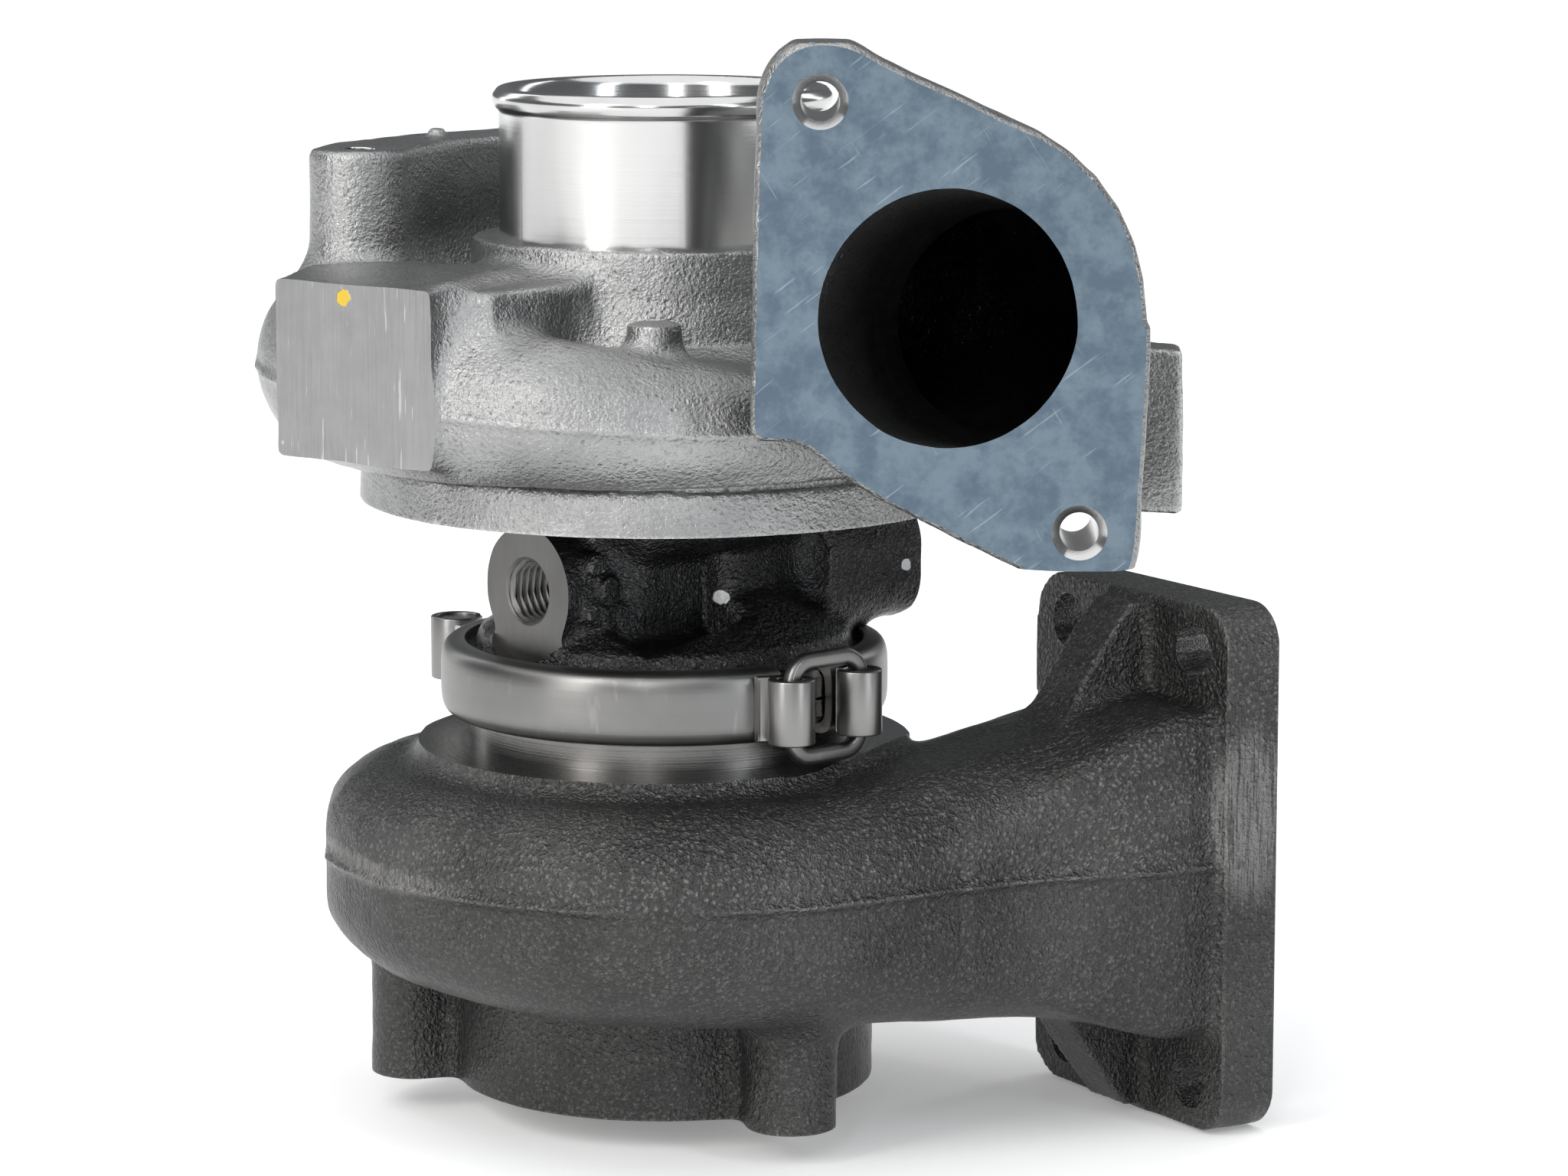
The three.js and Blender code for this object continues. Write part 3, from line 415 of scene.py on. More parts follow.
def round_about(start, end):
    """Two points as arrays, the way and distance between them, and a function for points round the line."""
    start, end = np.array(start, dtype=float), np.array(end, dtype=float)
    length = np.linalg.norm(end - start)
    way = (end - start) / length
    helper = np.array([0.0, 0.0, 1.0]) if abs(way[2]) < 0.9 else np.array([1.0, 0.0, 0.0])
    side = np.cross(way, helper)
    side /= np.linalg.norm(side)
    up = np.cross(way, side)

    def spot(centre, reach, turn):
        return centre + reach * (side * math.cos(turn) + up * math.sin(turn))

    return start, end, way, length, spot


def outward_skin(rings):
    points, faces = skin(rings)
    return points, facing_out(points, faces)


def rod_shape(start, end, radius, end_radius=None, sides=40, bevel=0.0):
    """A round bar between two points, with bevelled ends."""
    start, end, way, _, spot = round_about(start, end)
    end_radius = radius if end_radius is None else end_radius
    stations = [(start, radius - bevel), (end, end_radius - bevel)]
    if bevel:
        stations[1:1] = [(start + way * bevel, radius), (end - way * bevel, end_radius)]
    turns = [TURN * i / sides for i in range(sides)]
    return outward_skin([[spot(centre, reach, turn) for turn in turns] for centre, reach in stations])


def screw_shape(start, end, minor, major, pitch, sides=28):
    """A rod with a real helical thread."""
    start, end, way, length, spot = round_about(start, end)
    rows = int(length / pitch * 8)
    rings = []
    for k in range(rows + 1):
        along = length * k / rows
        fade = min(1.0, along / pitch, (length - along) / pitch)
        ring = []
        for i in range(sides):
            share = i / sides
            crest = 1 - abs(2 * ((along / pitch - share) % 1.0) - 1)
            reach = minor + (major - minor) * min(1.0, crest * 1.15) * fade
            ring.append(spot(start + way * along, reach, TURN * share))
        rings.append(ring)
    return outward_skin(rings)


def hex_shape(start, end, flats, sides=72):
    """A hexagon bar with its corners chamfered by a cone at both ends."""
    start, end, way, length, spot = round_about(start, end)
    corner = flats / math.sqrt(3)
    rings = []
    for along in (0, 0.25, 0.6, 1.1, length - 1.1, length - 0.6, length - 0.25, length):
        cone = flats / 2 * 0.94 + min(along, length - along) * 1.6
        ring = []
        for i in range(sides):
            turn = TURN * i / sides
            flat = flats / 2 / math.cos((turn + math.pi / 6) % (math.pi / 3) - math.pi / 6)
            ring.append(spot(start + way * along, min(flat, cone, corner), turn))
        rings.append(ring)
    return outward_skin(rings)


def slab_shape(outline, place, depth):
    """A flat outline given thickness. place maps (across, up, out) to a point."""
    return outward_skin([[place(a, b, out) for a, b in outline] for out in (0, depth)])


def rounded_outline(half_wide, half_tall, corner, steps=6):
    outline = []
    for k, (sx, sy) in enumerate(((1, 1), (-1, 1), (-1, -1), (1, -1))):
        for i in range(steps + 1):
            turn = (k + i / steps) * math.pi / 2
            outline.append((sx * (half_wide - corner) + corner * math.cos(turn),
                            sy * (half_tall - corner) + corner * math.sin(turn)))
    return outline


def merged(*shapes):
    points, faces = [], []
    for shape_points, shape_faces in shapes:
        base = len(points)
        points.extend(shape_points)
        faces.extend(tuple(base + i for i in face) for face in shape_faces)
    return points, faces


def applied(thing):
    """Replaces an object's mesh by what its modifiers make of it."""
    bpy.context.view_layer.update()
    graph = bpy.context.evaluated_depsgraph_get()
    mesh = bpy.data.meshes.new_from_object(thing.evaluated_get(graph))
    thing.modifiers.clear()
    thing.data = mesh


def machine(thing, cutters, operation="DIFFERENCE"):
    """Cuts shapes out of an object, each leaving its own finish on the cut faces."""
    for shape, material in cutters:
        tool = new_object("cutter", shape, material)
        if material.name not in [slot.name for slot in thing.data.materials]:
            thing.data.materials.append(material)
        work = thing.modifiers.new("machining", "BOOLEAN")
        work.operation = operation
        work.object = tool
        work.solver = "MANIFOLD"
        work.material_mode = "TRANSFER"
        applied(thing)
        bpy.data.objects.remove(tool)


def shade(thing, degrees=38):
    """Smooth shading, with crisp edges where they are sharper than the angle or where a cut begins."""
    mesh = thing.data
    mesh.shade_smooth()
    mesh.set_sharp_from_angle(angle=math.radians(degrees))
    if len(mesh.materials) < 2:
        return
    finish_of_face = np.zeros(len(mesh.polygons), dtype=np.int32)
    corners_of_face = np.zeros(len(mesh.polygons), dtype=np.int32)
    edge_of_corner = np.zeros(len(mesh.loops), dtype=np.int32)
    crisp = np.zeros(len(mesh.edges), dtype=bool)
    mesh.polygons.foreach_get("material_index", finish_of_face)
    mesh.polygons.foreach_get("loop_total", corners_of_face)
    mesh.loops.foreach_get("edge_index", edge_of_corner)
    mesh.edges.foreach_get("use_edge_sharp", crisp)
    finish_of_corner = np.repeat(finish_of_face, corners_of_face)
    lowest = np.full(len(crisp), 99, dtype=np.int32)
    highest = np.full(len(crisp), -1, dtype=np.int32)
    np.minimum.at(lowest, edge_of_corner, finish_of_corner)
    np.maximum.at(highest, edge_of_corner, finish_of_corner)
    mesh.edges.foreach_set("use_edge_sharp", crisp | (lowest != highest))


def finished(thing, body, slot, node, degrees=38):
    """Shades a piece, gives it its body and hides the CAD node that it stands for. The slot is not used."""
    shade(thing, degrees)
    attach(thing, body)
    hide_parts(node)


def piece(name, shape, material, body, slot, node, degrees=38, cuts=(), joins=()):
    """A piece made of one shape, with others joined to it and then cut out of it, in one finish."""
    thing = new_object(name, shape, material)
    machine(thing, [(other, material) for other in joins], "UNION")
    machine(thing, [(other, material) for other in cuts])
    finished(thing, body, slot, node, degrees)


# ---- finishes ----

class Signal:
    """A value that varies over a surface, with ordinary arithmetic."""

    def __init__(self, finish, socket):
        self.finish = finish
        self.socket = socket

    def maths(self, operation, *terms):
        settings = {"operation": operation}
        return self.finish.node("ShaderNodeMath", settings, dict(enumerate(terms)))

    def __add__(self, other):
        return self.maths("ADD", self, other)

    __radd__ = __add__

    def __sub__(self, other):
        return self.maths("SUBTRACT", self, other)

    def __rsub__(self, other):
        return self.maths("SUBTRACT", other, self)

    def __mul__(self, other):
        return self.maths("MULTIPLY", self, other)

    __rmul__ = __mul__

    def __pow__(self, power):
        return self.maths("POWER", self, power)

    def __or__(self, other):
        return self.maths("MAXIMUM", self, other)

    def above(self, edge, soft):
        """0 below the edge and 1 above it, with a soft change."""
        settings = {"interpolation_type": "SMOOTHSTEP"}
        limits = {"Value": self, "From Min": edge - soft, "From Max": edge + soft}
        return self.finish.node("ShaderNodeMapRange", settings, limits)

    def below(self, edge, soft):
        return 1 - self.above(edge, soft)


class Finish:
    """A material and the nodes that paint it. Sizes are in metres in the part's frame."""

    def __init__(self, name, constants):
        self.material = bpy.data.materials.new(name)
        self.material.use_nodes = True
        self.tree = self.material.node_tree
        self.shader = self.tree.nodes["Principled BSDF"]
        for socket, value in constants.items():
            self.shader.inputs[socket].default_value = value
        self.place = self.node("ShaderNodeTexCoord", {}, {}, "Object")

    def node(self, kind, settings, sockets, output=0):
        made = self.tree.nodes.new(kind)
        for name, value in settings.items():
            setattr(made, name, value)
        for key, value in sockets.items():
            self.join(made.inputs[key], value)
        return Signal(self, made.outputs[output])

    def join(self, target, value):
        if isinstance(value, Signal):
            self.tree.links.new(value.socket, target)
        elif isinstance(value, tuple) and len(value) == 3 and target.type == "RGBA":
            target.default_value = (*value, 1)
        else:
            target.default_value = value

    def noise(self, millimetres, detail=3.0, stretch=(1, 1, 1), place=None, rough=0.55):
        """Random unevenness with features of about the given size."""
        where = self.scaled(place or self.place, stretch)
        sockets = {"Vector": where, "Scale": 1000 / millimetres, "Detail": detail, "Roughness": rough}
        return self.node("ShaderNodeTexNoise", {}, sockets, "Fac")

    def cells(self, millimetres, place=None):
        """Distance to the nearest of many scattered points, 0 at the point."""
        sockets = {"Vector": place or self.place, "Scale": 1000 / millimetres}
        return self.node("ShaderNodeTexVoronoi", {"feature": "F1"}, sockets, "Distance")

    def scaled(self, place, stretch):
        if stretch == (1, 1, 1):
            return place
        return self.node("ShaderNodeVectorMath", {"operation": "MULTIPLY"}, {0: place, 1: stretch})

    def about(self, millimetres):
        """Place measured from a point given about the rotor axis."""
        centre = tuple((np.array(millimetres) + ORIGIN) / 1000)
        return self.node("ShaderNodeVectorMath", {"operation": "SUBTRACT"}, {0: self.place, 1: centre})

    def length(self, place):
        return self.node("ShaderNodeVectorMath", {"operation": "LENGTH"}, {0: place}, "Value")

    def along(self, place, way):
        """How far a place lies along a direction."""
        return self.node("ShaderNodeVectorMath", {"operation": "DOT_PRODUCT"}, {0: place, 1: way}, "Value")

    def scratches(self, width, way, across, share):
        """Long fine scratches that run one way over a flat face."""
        place = self.combined(self.along(self.place, way) * 0.05, 0, self.along(self.place, across))
        return self.noise(width, 2, place=place).above(share, 0.03)

    def combined(self, x, y, z):
        return self.node("ShaderNodeCombineXYZ", {}, {0: x, 1: y, 2: z})

    def mixed(self, mask, first, second):
        """The first colour where the mask is 0 and the second where it is 1."""
        return self.node("ShaderNodeMix", {"data_type": "RGBA"}, {0: mask, 6: first, 7: second}, 2)

    def edges(self):
        """1 on outside corners, where handling rubs a surface bright, used also as a painted highlight along
        edges.
        """
        return self.node("ShaderNodeNewGeometry", {}, {}, "Pointiness").above(0.56, 0.05)

    def dab(self, centre, radius, facing, seed_size=2.2):
        """The mask of a dab of paint with an uneven rim, on a surface that faces a bearing."""
        way = (*radial(facing), 0)
        place = self.about(centre)
        flat = self.node("ShaderNodeVectorMath", {"operation": "CROSS_PRODUCT"}, {0: place, 1: way})
        deep = self.along(place, way) * 0.6
        reach = (self.length(flat) ** 2 + deep ** 2) ** 0.5 * 1000
        return (reach + (self.noise(seed_size, 2) - 0.5) * radius).below(radius, 0.12)

    def bumped(self, height, millimetres):
        """The normal of a relief of the given depth."""
        wanted = {"Height": height, "Distance": millimetres / 1000, "Strength": 1.0}
        return self.node("ShaderNodeBump", {}, wanted)

    def lathe_marks(self, spacing, centre=(0, 0, 0), way=(0, 0, 1)):
        """Fine rings round an axis, as a turning tool leaves them."""
        place = self.about(centre)
        height = self.along(place, way)
        flat = self.node("ShaderNodeVectorMath", {"operation": "CROSS_PRODUCT"}, {0: place, 1: way})
        return self.noise(spacing, 3, place=self.combined(self.length(flat), 0, height), rough=0.7)

    def paint(self, base, roughness, normal, **others):
        for name, value in {"Base Color": base, "Roughness": roughness, "Normal": normal, **others}.items():
            self.join(self.shader.inputs[name], value)
        return self.material


METAL = {"Metallic": 1.0}
BLOCK_FACING = math.degrees(math.atan2(BLOCK_LEFT[0] - BLOCK_RIGHT[0], BLOCK_RIGHT[1] - BLOCK_LEFT[1]))
YELLOW_DAB = (-55.55, -45.97, 152.1)
GROUND_PATCHES = (((-55.0, -30.0, 46.5), (0.22, 0.22, 3.0)), ((108.0, -27.0, 54.5), (0.9, 0.9, 0.48)))
WHITE_DABS = ((10.8, -16.1, 93.3), (45.4, 10.45, 95.1))


def sand_cast_aluminium():
    finish = Finish("sand_cast_aluminium", METAL)
    sand = finish.noise(0.8, 3, rough=0.6)
    pits = finish.cells(2.2).below(0.16, 0.12)
    cloud = finish.noise(20, 4)
    grain = finish.noise(0.45, 2)
    wear_and_edge_highlight = finish.edges()
    tone = finish.mixed(cloud.above(0.5, 0.22), (0.27, 0.272, 0.272), (0.385, 0.387, 0.385))
    tone = finish.mixed(sand.below(0.42, 0.1) * 0.3 | pits * 0.5, tone, (0.19, 0.19, 0.195))
    # Rubbed corners: real wear, and also a painted edge highlight.
    tone = finish.mixed(wear_and_edge_highlight * 0.7, tone, (0.66, 0.66, 0.65))
    relief = finish.bumped(sand + grain * 0.4 - pits * 0.3, 0.36)
    return finish.paint(tone, 0.2 + grain * 0.2 - wear_and_edge_highlight * 0.06, relief)


def turned_aluminium():
    finish = Finish("turned_aluminium", METAL)
    marks = finish.lathe_marks(0.35)
    smear = finish.noise(9, 2, stretch=(1, 1, 0.2))
    tone = finish.mixed(smear, (0.50, 0.50, 0.497), (0.64, 0.64, 0.635))
    return finish.paint(tone, 0.12 + marks * 0.12, finish.bumped(marks, 0.012))


def milled_aluminium():
    finish = Finish("milled_aluminium", METAL)
    arcs = finish.lathe_marks(0.7, (OUTLET_X - 90, OUTLET_Y, OUTLET_Z + 60), (0, 1, 0))
    cross = finish.lathe_marks(1.1, (OUTLET_X + 60, OUTLET_Y, OUTLET_Z + 110), (0, 1, 0))
    scratches = finish.scratches(0.8, (0.8, 0, 0.6), (0.6, 0, -0.8), 0.68)
    streaks = finish.scratches(0.9, (0.5, 0, -0.85), (0.85, 0, 0.5), 0.71)
    mottle = finish.noise(7, 4, rough=0.7)
    # Painted reflection: the blue-grey tones stand for blue-grey surroundings mirrored in the face; the
    # mottle and scratches are real marks.
    tone = finish.mixed(mottle.above(0.5, 0.15), (0.115, 0.16, 0.205), (0.18, 0.235, 0.285))
    tone = finish.mixed((scratches | streaks) * 0.4, tone, (0.40, 0.47, 0.53))
    relief = finish.bumped(arcs + cross * 0.7 - (scratches | streaks) * 0.4, 0.03)
    return finish.paint(tone, 0.34 + mottle * 0.2, relief)


def linished_aluminium():
    finish = Finish("linished_aluminium", METAL)
    lines = finish.noise(0.5, 3, stretch=(1, 1, 0.04))
    gouges = finish.noise(0.9, 2, stretch=(1, 1, 0.08)).above(0.68, 0.03)
    nicks = finish.cells(9).below(0.05, 0.03)
    mottle = finish.noise(8, 3)
    dab = finish.dab(YELLOW_DAB, 1.55, BLOCK_FACING)
    tone = finish.mixed(mottle * 0.6 + lines * 0.5, (0.24, 0.24, 0.245), (0.42, 0.42, 0.42))
    tone = finish.mixed(gouges * 0.4 | nicks * 0.8, tone, (0.75, 0.75, 0.74))
    tone = finish.mixed(dab, tone, (0.62, 0.42, 0.03))
    relief = finish.bumped(lines - gouges * 0.6 + dab * 2.0, 0.05)
    return finish.paint(tone, 0.34 + lines * 0.18 + dab * 0.1, relief, Metallic=1 - dab)


def iron_casting(name, dark, light, wet, sandy, dabs=(), seam=None):
    """Sand-cast iron: coarse grain with painted glints on small facets, rubbed corners that also carry a
    painted edge highlight, dabs of paint, and a seam with painted shade below it.
    """
    finish = Finish(name, {})
    sand = finish.noise(1.0, 3, rough=0.6)
    grit = finish.noise(0.5, 2)
    lumps = finish.cells(1.0)
    cloud = finish.noise(30, 3)
    wear_and_edge_highlight = finish.edges()
    tone = finish.mixed(cloud.above(0.5, 0.2), dark, light)
    # Painted glints: small bright spots on the grain stand in for light catching its facets.
    painted_grain_glints = lumps.below(0.35, 0.3) * grit.above(0.5, 0.1)
    tone = finish.mixed(painted_grain_glints * (sandy + 0.1), tone, tuple(3 * c for c in light))
    # Rubbed corners: real wear, and also a painted edge highlight.
    tone = finish.mixed(wear_and_edge_highlight * 0.75, tone, tuple(3.6 * c for c in light))
    if seam:
        # Painted shade: the casting is darkened below the seam height, on its lower part.
        height = finish.along(finish.about((0, 0, seam)), (0, 0, 1)) * 1000 + (cloud - 0.5) * 3
        tone = finish.mixed(height.below(0, 0.5) * 0.45, tone, dark)
        for centre, squeeze in GROUND_PATCHES:
            patch = finish.length(finish.scaled(finish.about(centre), squeeze)).below(0.0072, 0.0022)
            lines = finish.noise(0.5, 3, stretch=(1, 1, 0.04))
            tone = finish.mixed(patch * lines.above(0.45, 0.12) * 0.65, tone, (0.27, 0.265, 0.26))
    mask = None
    for centre in dabs:
        spot = finish.dab(centre, 1.2, OIL_ANGLE - 90, 1.5)
        mask = spot if mask is None else mask | spot
    metal = 0.86 + wear_and_edge_highlight * 0.1
    if mask is not None:
        tone = finish.mixed(mask, tone, (0.82, 0.84, 0.84))
        metal = metal * (1 - mask)
    relief = finish.bumped(sand + grit * 0.5 - lumps * 0.4, sandy)
    return finish.paint(tone, wet + grit * 0.18 - wear_and_edge_highlight * 0.1, relief, Metallic=metal)


def turned_iron():
    finish = Finish("turned_iron", METAL)
    marks = finish.lathe_marks(0.45)
    smear = finish.noise(10, 3)
    tone = finish.mixed(smear * 0.5 + marks * 0.5, (0.11, 0.107, 0.103), (0.32, 0.315, 0.31))
    return finish.paint(tone, 0.2 + marks * 0.16, finish.bumped(marks, 0.04))


def milled_iron():
    finish = Finish("milled_iron", METAL)
    lines = finish.noise(0.5, 3, stretch=(1, 1, 0.05))
    stain = finish.noise(12, 3)
    tone = finish.mixed(stain, (0.13, 0.128, 0.125), (0.20, 0.197, 0.194))
    return finish.paint(tone, 0.36 + lines * 0.16, finish.bumped(lines, 0.04))


def satin_stainless():
    finish = Finish("satin_stainless", METAL)
    brushed = finish.lathe_marks(0.5)
    smear = finish.noise(14, 3)
    scuffs = finish.noise(2.5, 3, stretch=(1, 1, 0.3)).above(0.66, 0.05)
    wear_and_edge_highlight = finish.edges()
    tone = finish.mixed(smear, (0.165, 0.164, 0.162), (0.28, 0.278, 0.272))
    # Scuffs are real marks; rubbed edges are real wear and also a painted edge highlight.
    tone = finish.mixed(scuffs * 0.12 | wear_and_edge_highlight * 0.6, tone, (0.55, 0.54, 0.525))
    relief = finish.bumped(brushed + scuffs * 0.4, 0.02)
    return finish.paint(tone, 0.25 + smear * 0.14 + brushed * 0.08, relief)


def plain_metal(name, dark, light, shine, grain):
    """Ground or drawn metal with a fine grain, light staining and bright corners that are rubbed wear and a
    painted edge highlight.
    """
    finish = Finish(name, METAL)
    fine = finish.noise(grain, 3)
    stain = finish.noise(6, 3)
    wear_and_edge_highlight = finish.edges()
    tone = finish.mixed(stain, dark, light)
    # Rubbed corners: real wear, and also a painted edge highlight.
    tone = finish.mixed(wear_and_edge_highlight * 0.6, tone, tuple(min(1.0, 1.5 * c) for c in light))
    return finish.paint(tone, shine + fine * 0.15, finish.bumped(fine, 0.02))


def seal_rubber():
    finish = Finish("seal_rubber", {"Metallic": 0.0, "Specular IOR Level": 0.4})
    fine = finish.noise(0.4, 3)
    dust = finish.noise(5, 4).above(0.56, 0.1)
    tone = finish.mixed(dust * 0.4, (0.012, 0.012, 0.012), (0.07, 0.065, 0.06))
    return finish.paint(tone, 0.5 + fine * 0.2 + dust * 0.15, finish.bumped(fine, 0.03))


def studio_floor():
    finish = Finish("studio_floor", {"Metallic": 0.0, "Specular IOR Level": 0.1, "Emission Strength": 0.22,
                                     "Emission Color": (1, 1, 1, 1)})
    paper = finish.noise(3, 3)
    tone = finish.mixed(paper, (0.93, 0.93, 0.93), (0.95, 0.95, 0.95))
    return finish.paint(tone, 0.8 + paper * 0.1, finish.bumped(paper, 0.05))


CAST_ALUMINIUM = sand_cast_aluminium()
TURNED_ALUMINIUM = turned_aluminium()
MILLED_ALUMINIUM = milled_aluminium()
LINISHED_ALUMINIUM = linished_aluminium()
GREY_IRON = iron_casting("grey_cast_iron", (0.048, 0.048, 0.047), (0.085, 0.085, 0.083), 0.22, 0.6,
                         seam=IRON_SEAM_Z)
BLACK_IRON = iron_casting("black_cast_iron", (0.026, 0.026, 0.027), (0.05, 0.05, 0.051), 0.13, 0.4,
                          dabs=WHITE_DABS)
TURNED_IRON = turned_iron()
MILLED_IRON = milled_iron()
STAINLESS = satin_stainless()
STEEL = plain_metal("ground_steel", (0.36, 0.35, 0.34), (0.58, 0.57, 0.56), 0.2, 0.5)
SPRING_STEEL = plain_metal("blued_spring_steel", (0.05, 0.055, 0.065), (0.12, 0.125, 0.14), 0.26, 0.5)
NICKEL = plain_metal("cast_nickel_alloy", (0.22, 0.205, 0.19), (0.36, 0.34, 0.32), 0.34, 0.9)
WHEEL_ALLOY = plain_metal("wheel_aluminium", (0.62, 0.62, 0.62), (0.80, 0.80, 0.80), 0.18, 0.6)
BRONZE = plain_metal("bearing_bronze", (0.38, 0.24, 0.10), (0.58, 0.40, 0.19), 0.2, 0.5)
RUBBER = seal_rubber()


# ---- turbine housing ----

DUCT_OUT, DUCT_ACROSS = radial(DUCT_ANGLE), radial(VOLUTE_START)


def turbine_passage(room, inset):
    """The volute and the inlet duct, drawn in by an inset, with distances out and across the duct."""
    turned = np.mod(VOLUTE_START - room.angle, 360)
    share = np.minimum(turned / VOLUTE_SWEEP, 1)
    wide = mix(*VOLUTE_WIDE, share) - inset
    tall = mix(*VOLUTE_TALL, share) - inset
    middle = mix(*VOLUTE_R, share) - wide - inset
    corner = 0.8 * np.minimum(wide, tall)
    scroll = rounded(room.r - middle, room.z - mix(TURBINE_MID_Z, VOLUTE_END_Z, share), wide, tall, corner)
    reach = room.x * DUCT_OUT[0] + room.y * DUCT_OUT[1]
    off = room.x * DUCT_ACROSS[0] + room.y * DUCT_ACROSS[1] - DUCT_OFFSET
    far = np.clip(reach / FLANGE_BACK, 0, 1)
    far_wide = mix(VOLUTE_WIDE[0], DUCT_MOUTH_WIDE, far) - inset
    far_tall = mix(VOLUTE_TALL[0], DUCT_MOUTH_TALL, far) - inset
    corner = mix(0.8, 0.45, far) * far_wide
    duct = rounded(off, room.z - mix(TURBINE_MID_Z, FLANGE_MID_Z, far), far_wide, far_tall, corner)
    return Solid(scroll), Solid(np.maximum(duct, -reach - 0.5)), reach, off


def turbine_body(room):
    """The casting before machining: volute, duct, shelf, outlet ring, bosses, flange and rib."""
    scroll, duct, reach, off = turbine_passage(room, 0)
    seam = np.exp(-((room.z - IRON_SEAM_Z) / 0.8) ** 2) * (1.1 + room.wobble(5, 0.5, 13))
    duct = duct & Solid(reach - FLANGE_BACK - 3)
    swell = ((reach - 26) / 40).clip(0, 1)
    swell = swell * swell * (3 - 2 * swell)
    shelf_wide, shelf_tall = mix(13, 17.5, swell), mix(18, 30.5, swell)
    shelf = rounded(off - mix(6, 11, swell), room.z - mix(42, FLANGE_MID_Z, swell), shelf_wide, shelf_tall, 4)
    shelf = np.maximum(shelf, np.maximum(24 - reach, reach - FLANGE_BACK - 3))
    body = (scroll | duct).fillet(Solid(shelf), 4)
    body.depth = body.depth - seam
    ring = room.turned([
        (0, -3), (OUTLET_R, -3), (OUTLET_R, 18), (PAD_R - 2, 32), (PAD_R, PAD_TOP + 2), (0, PAD_TOP + 2),
    ])
    body = body.fillet(ring, 6)
    for angle in BOSS_ANGLES:
        boss = room.bar(on_circle(BOSS_RING_R, angle, -3), on_circle(BOSS_RING_R, angle, 26), BOSS_R)
        body = body.fillet(boss, 7)
    plate = rounded(off, room.z - FLANGE_MID_Z, *FLANGE_HALF, 8)
    slab = np.abs(reach - FLANGE_BACK - FLANGE_THICK / 2 - 1) - FLANGE_THICK / 2 - 1
    rise = np.abs(room.z - FLANGE_MID_Z)
    slope = 50.5 + 18 * ((rise - 20) / 29).clip(0, 1) ** 1.4
    rib = np.maximum(np.abs(off) - 6, slope - reach)
    rib = np.maximum(rib, np.maximum(plate + 1.5, reach - FLANGE_BACK - 4))
    body = body.fillet(Solid(rib), 4).fillet(Solid(np.maximum(plate, slab)), 3)
    inner_scroll, inner_duct, _, _ = turbine_passage(room, IRON_WALL)
    body = body - inner_scroll - inner_duct
    body = body | (ring & Solid(room.r - 36.5) & Solid(np.abs(room.z - 57.6) - 4.2))
    body.depth = body.depth + room.wobble(9, 0.22, 11) + room.wobble(3.2, 0.1, 12)
    return room.kept_inside(body, "turbine_housing")


def on_flange(a, b, c):
    """A point a across, b above and c out from the middle of the inlet flange's back."""
    centre = np.array([*(DUCT_OFFSET * DUCT_ACROSS + FLANGE_BACK * DUCT_OUT), FLANGE_MID_Z])
    across, out = np.array([*DUCT_ACROSS, 0.0]), np.array([*DUCT_OUT, 0.0])
    return tuple(centre + across * a + out * c + np.array([0, 0, b]))


def at_pin(z):
    """A point on the locating pin's axis."""
    return on_circle(PIN_CIRCLE_R, PIN_ANGLE, z)


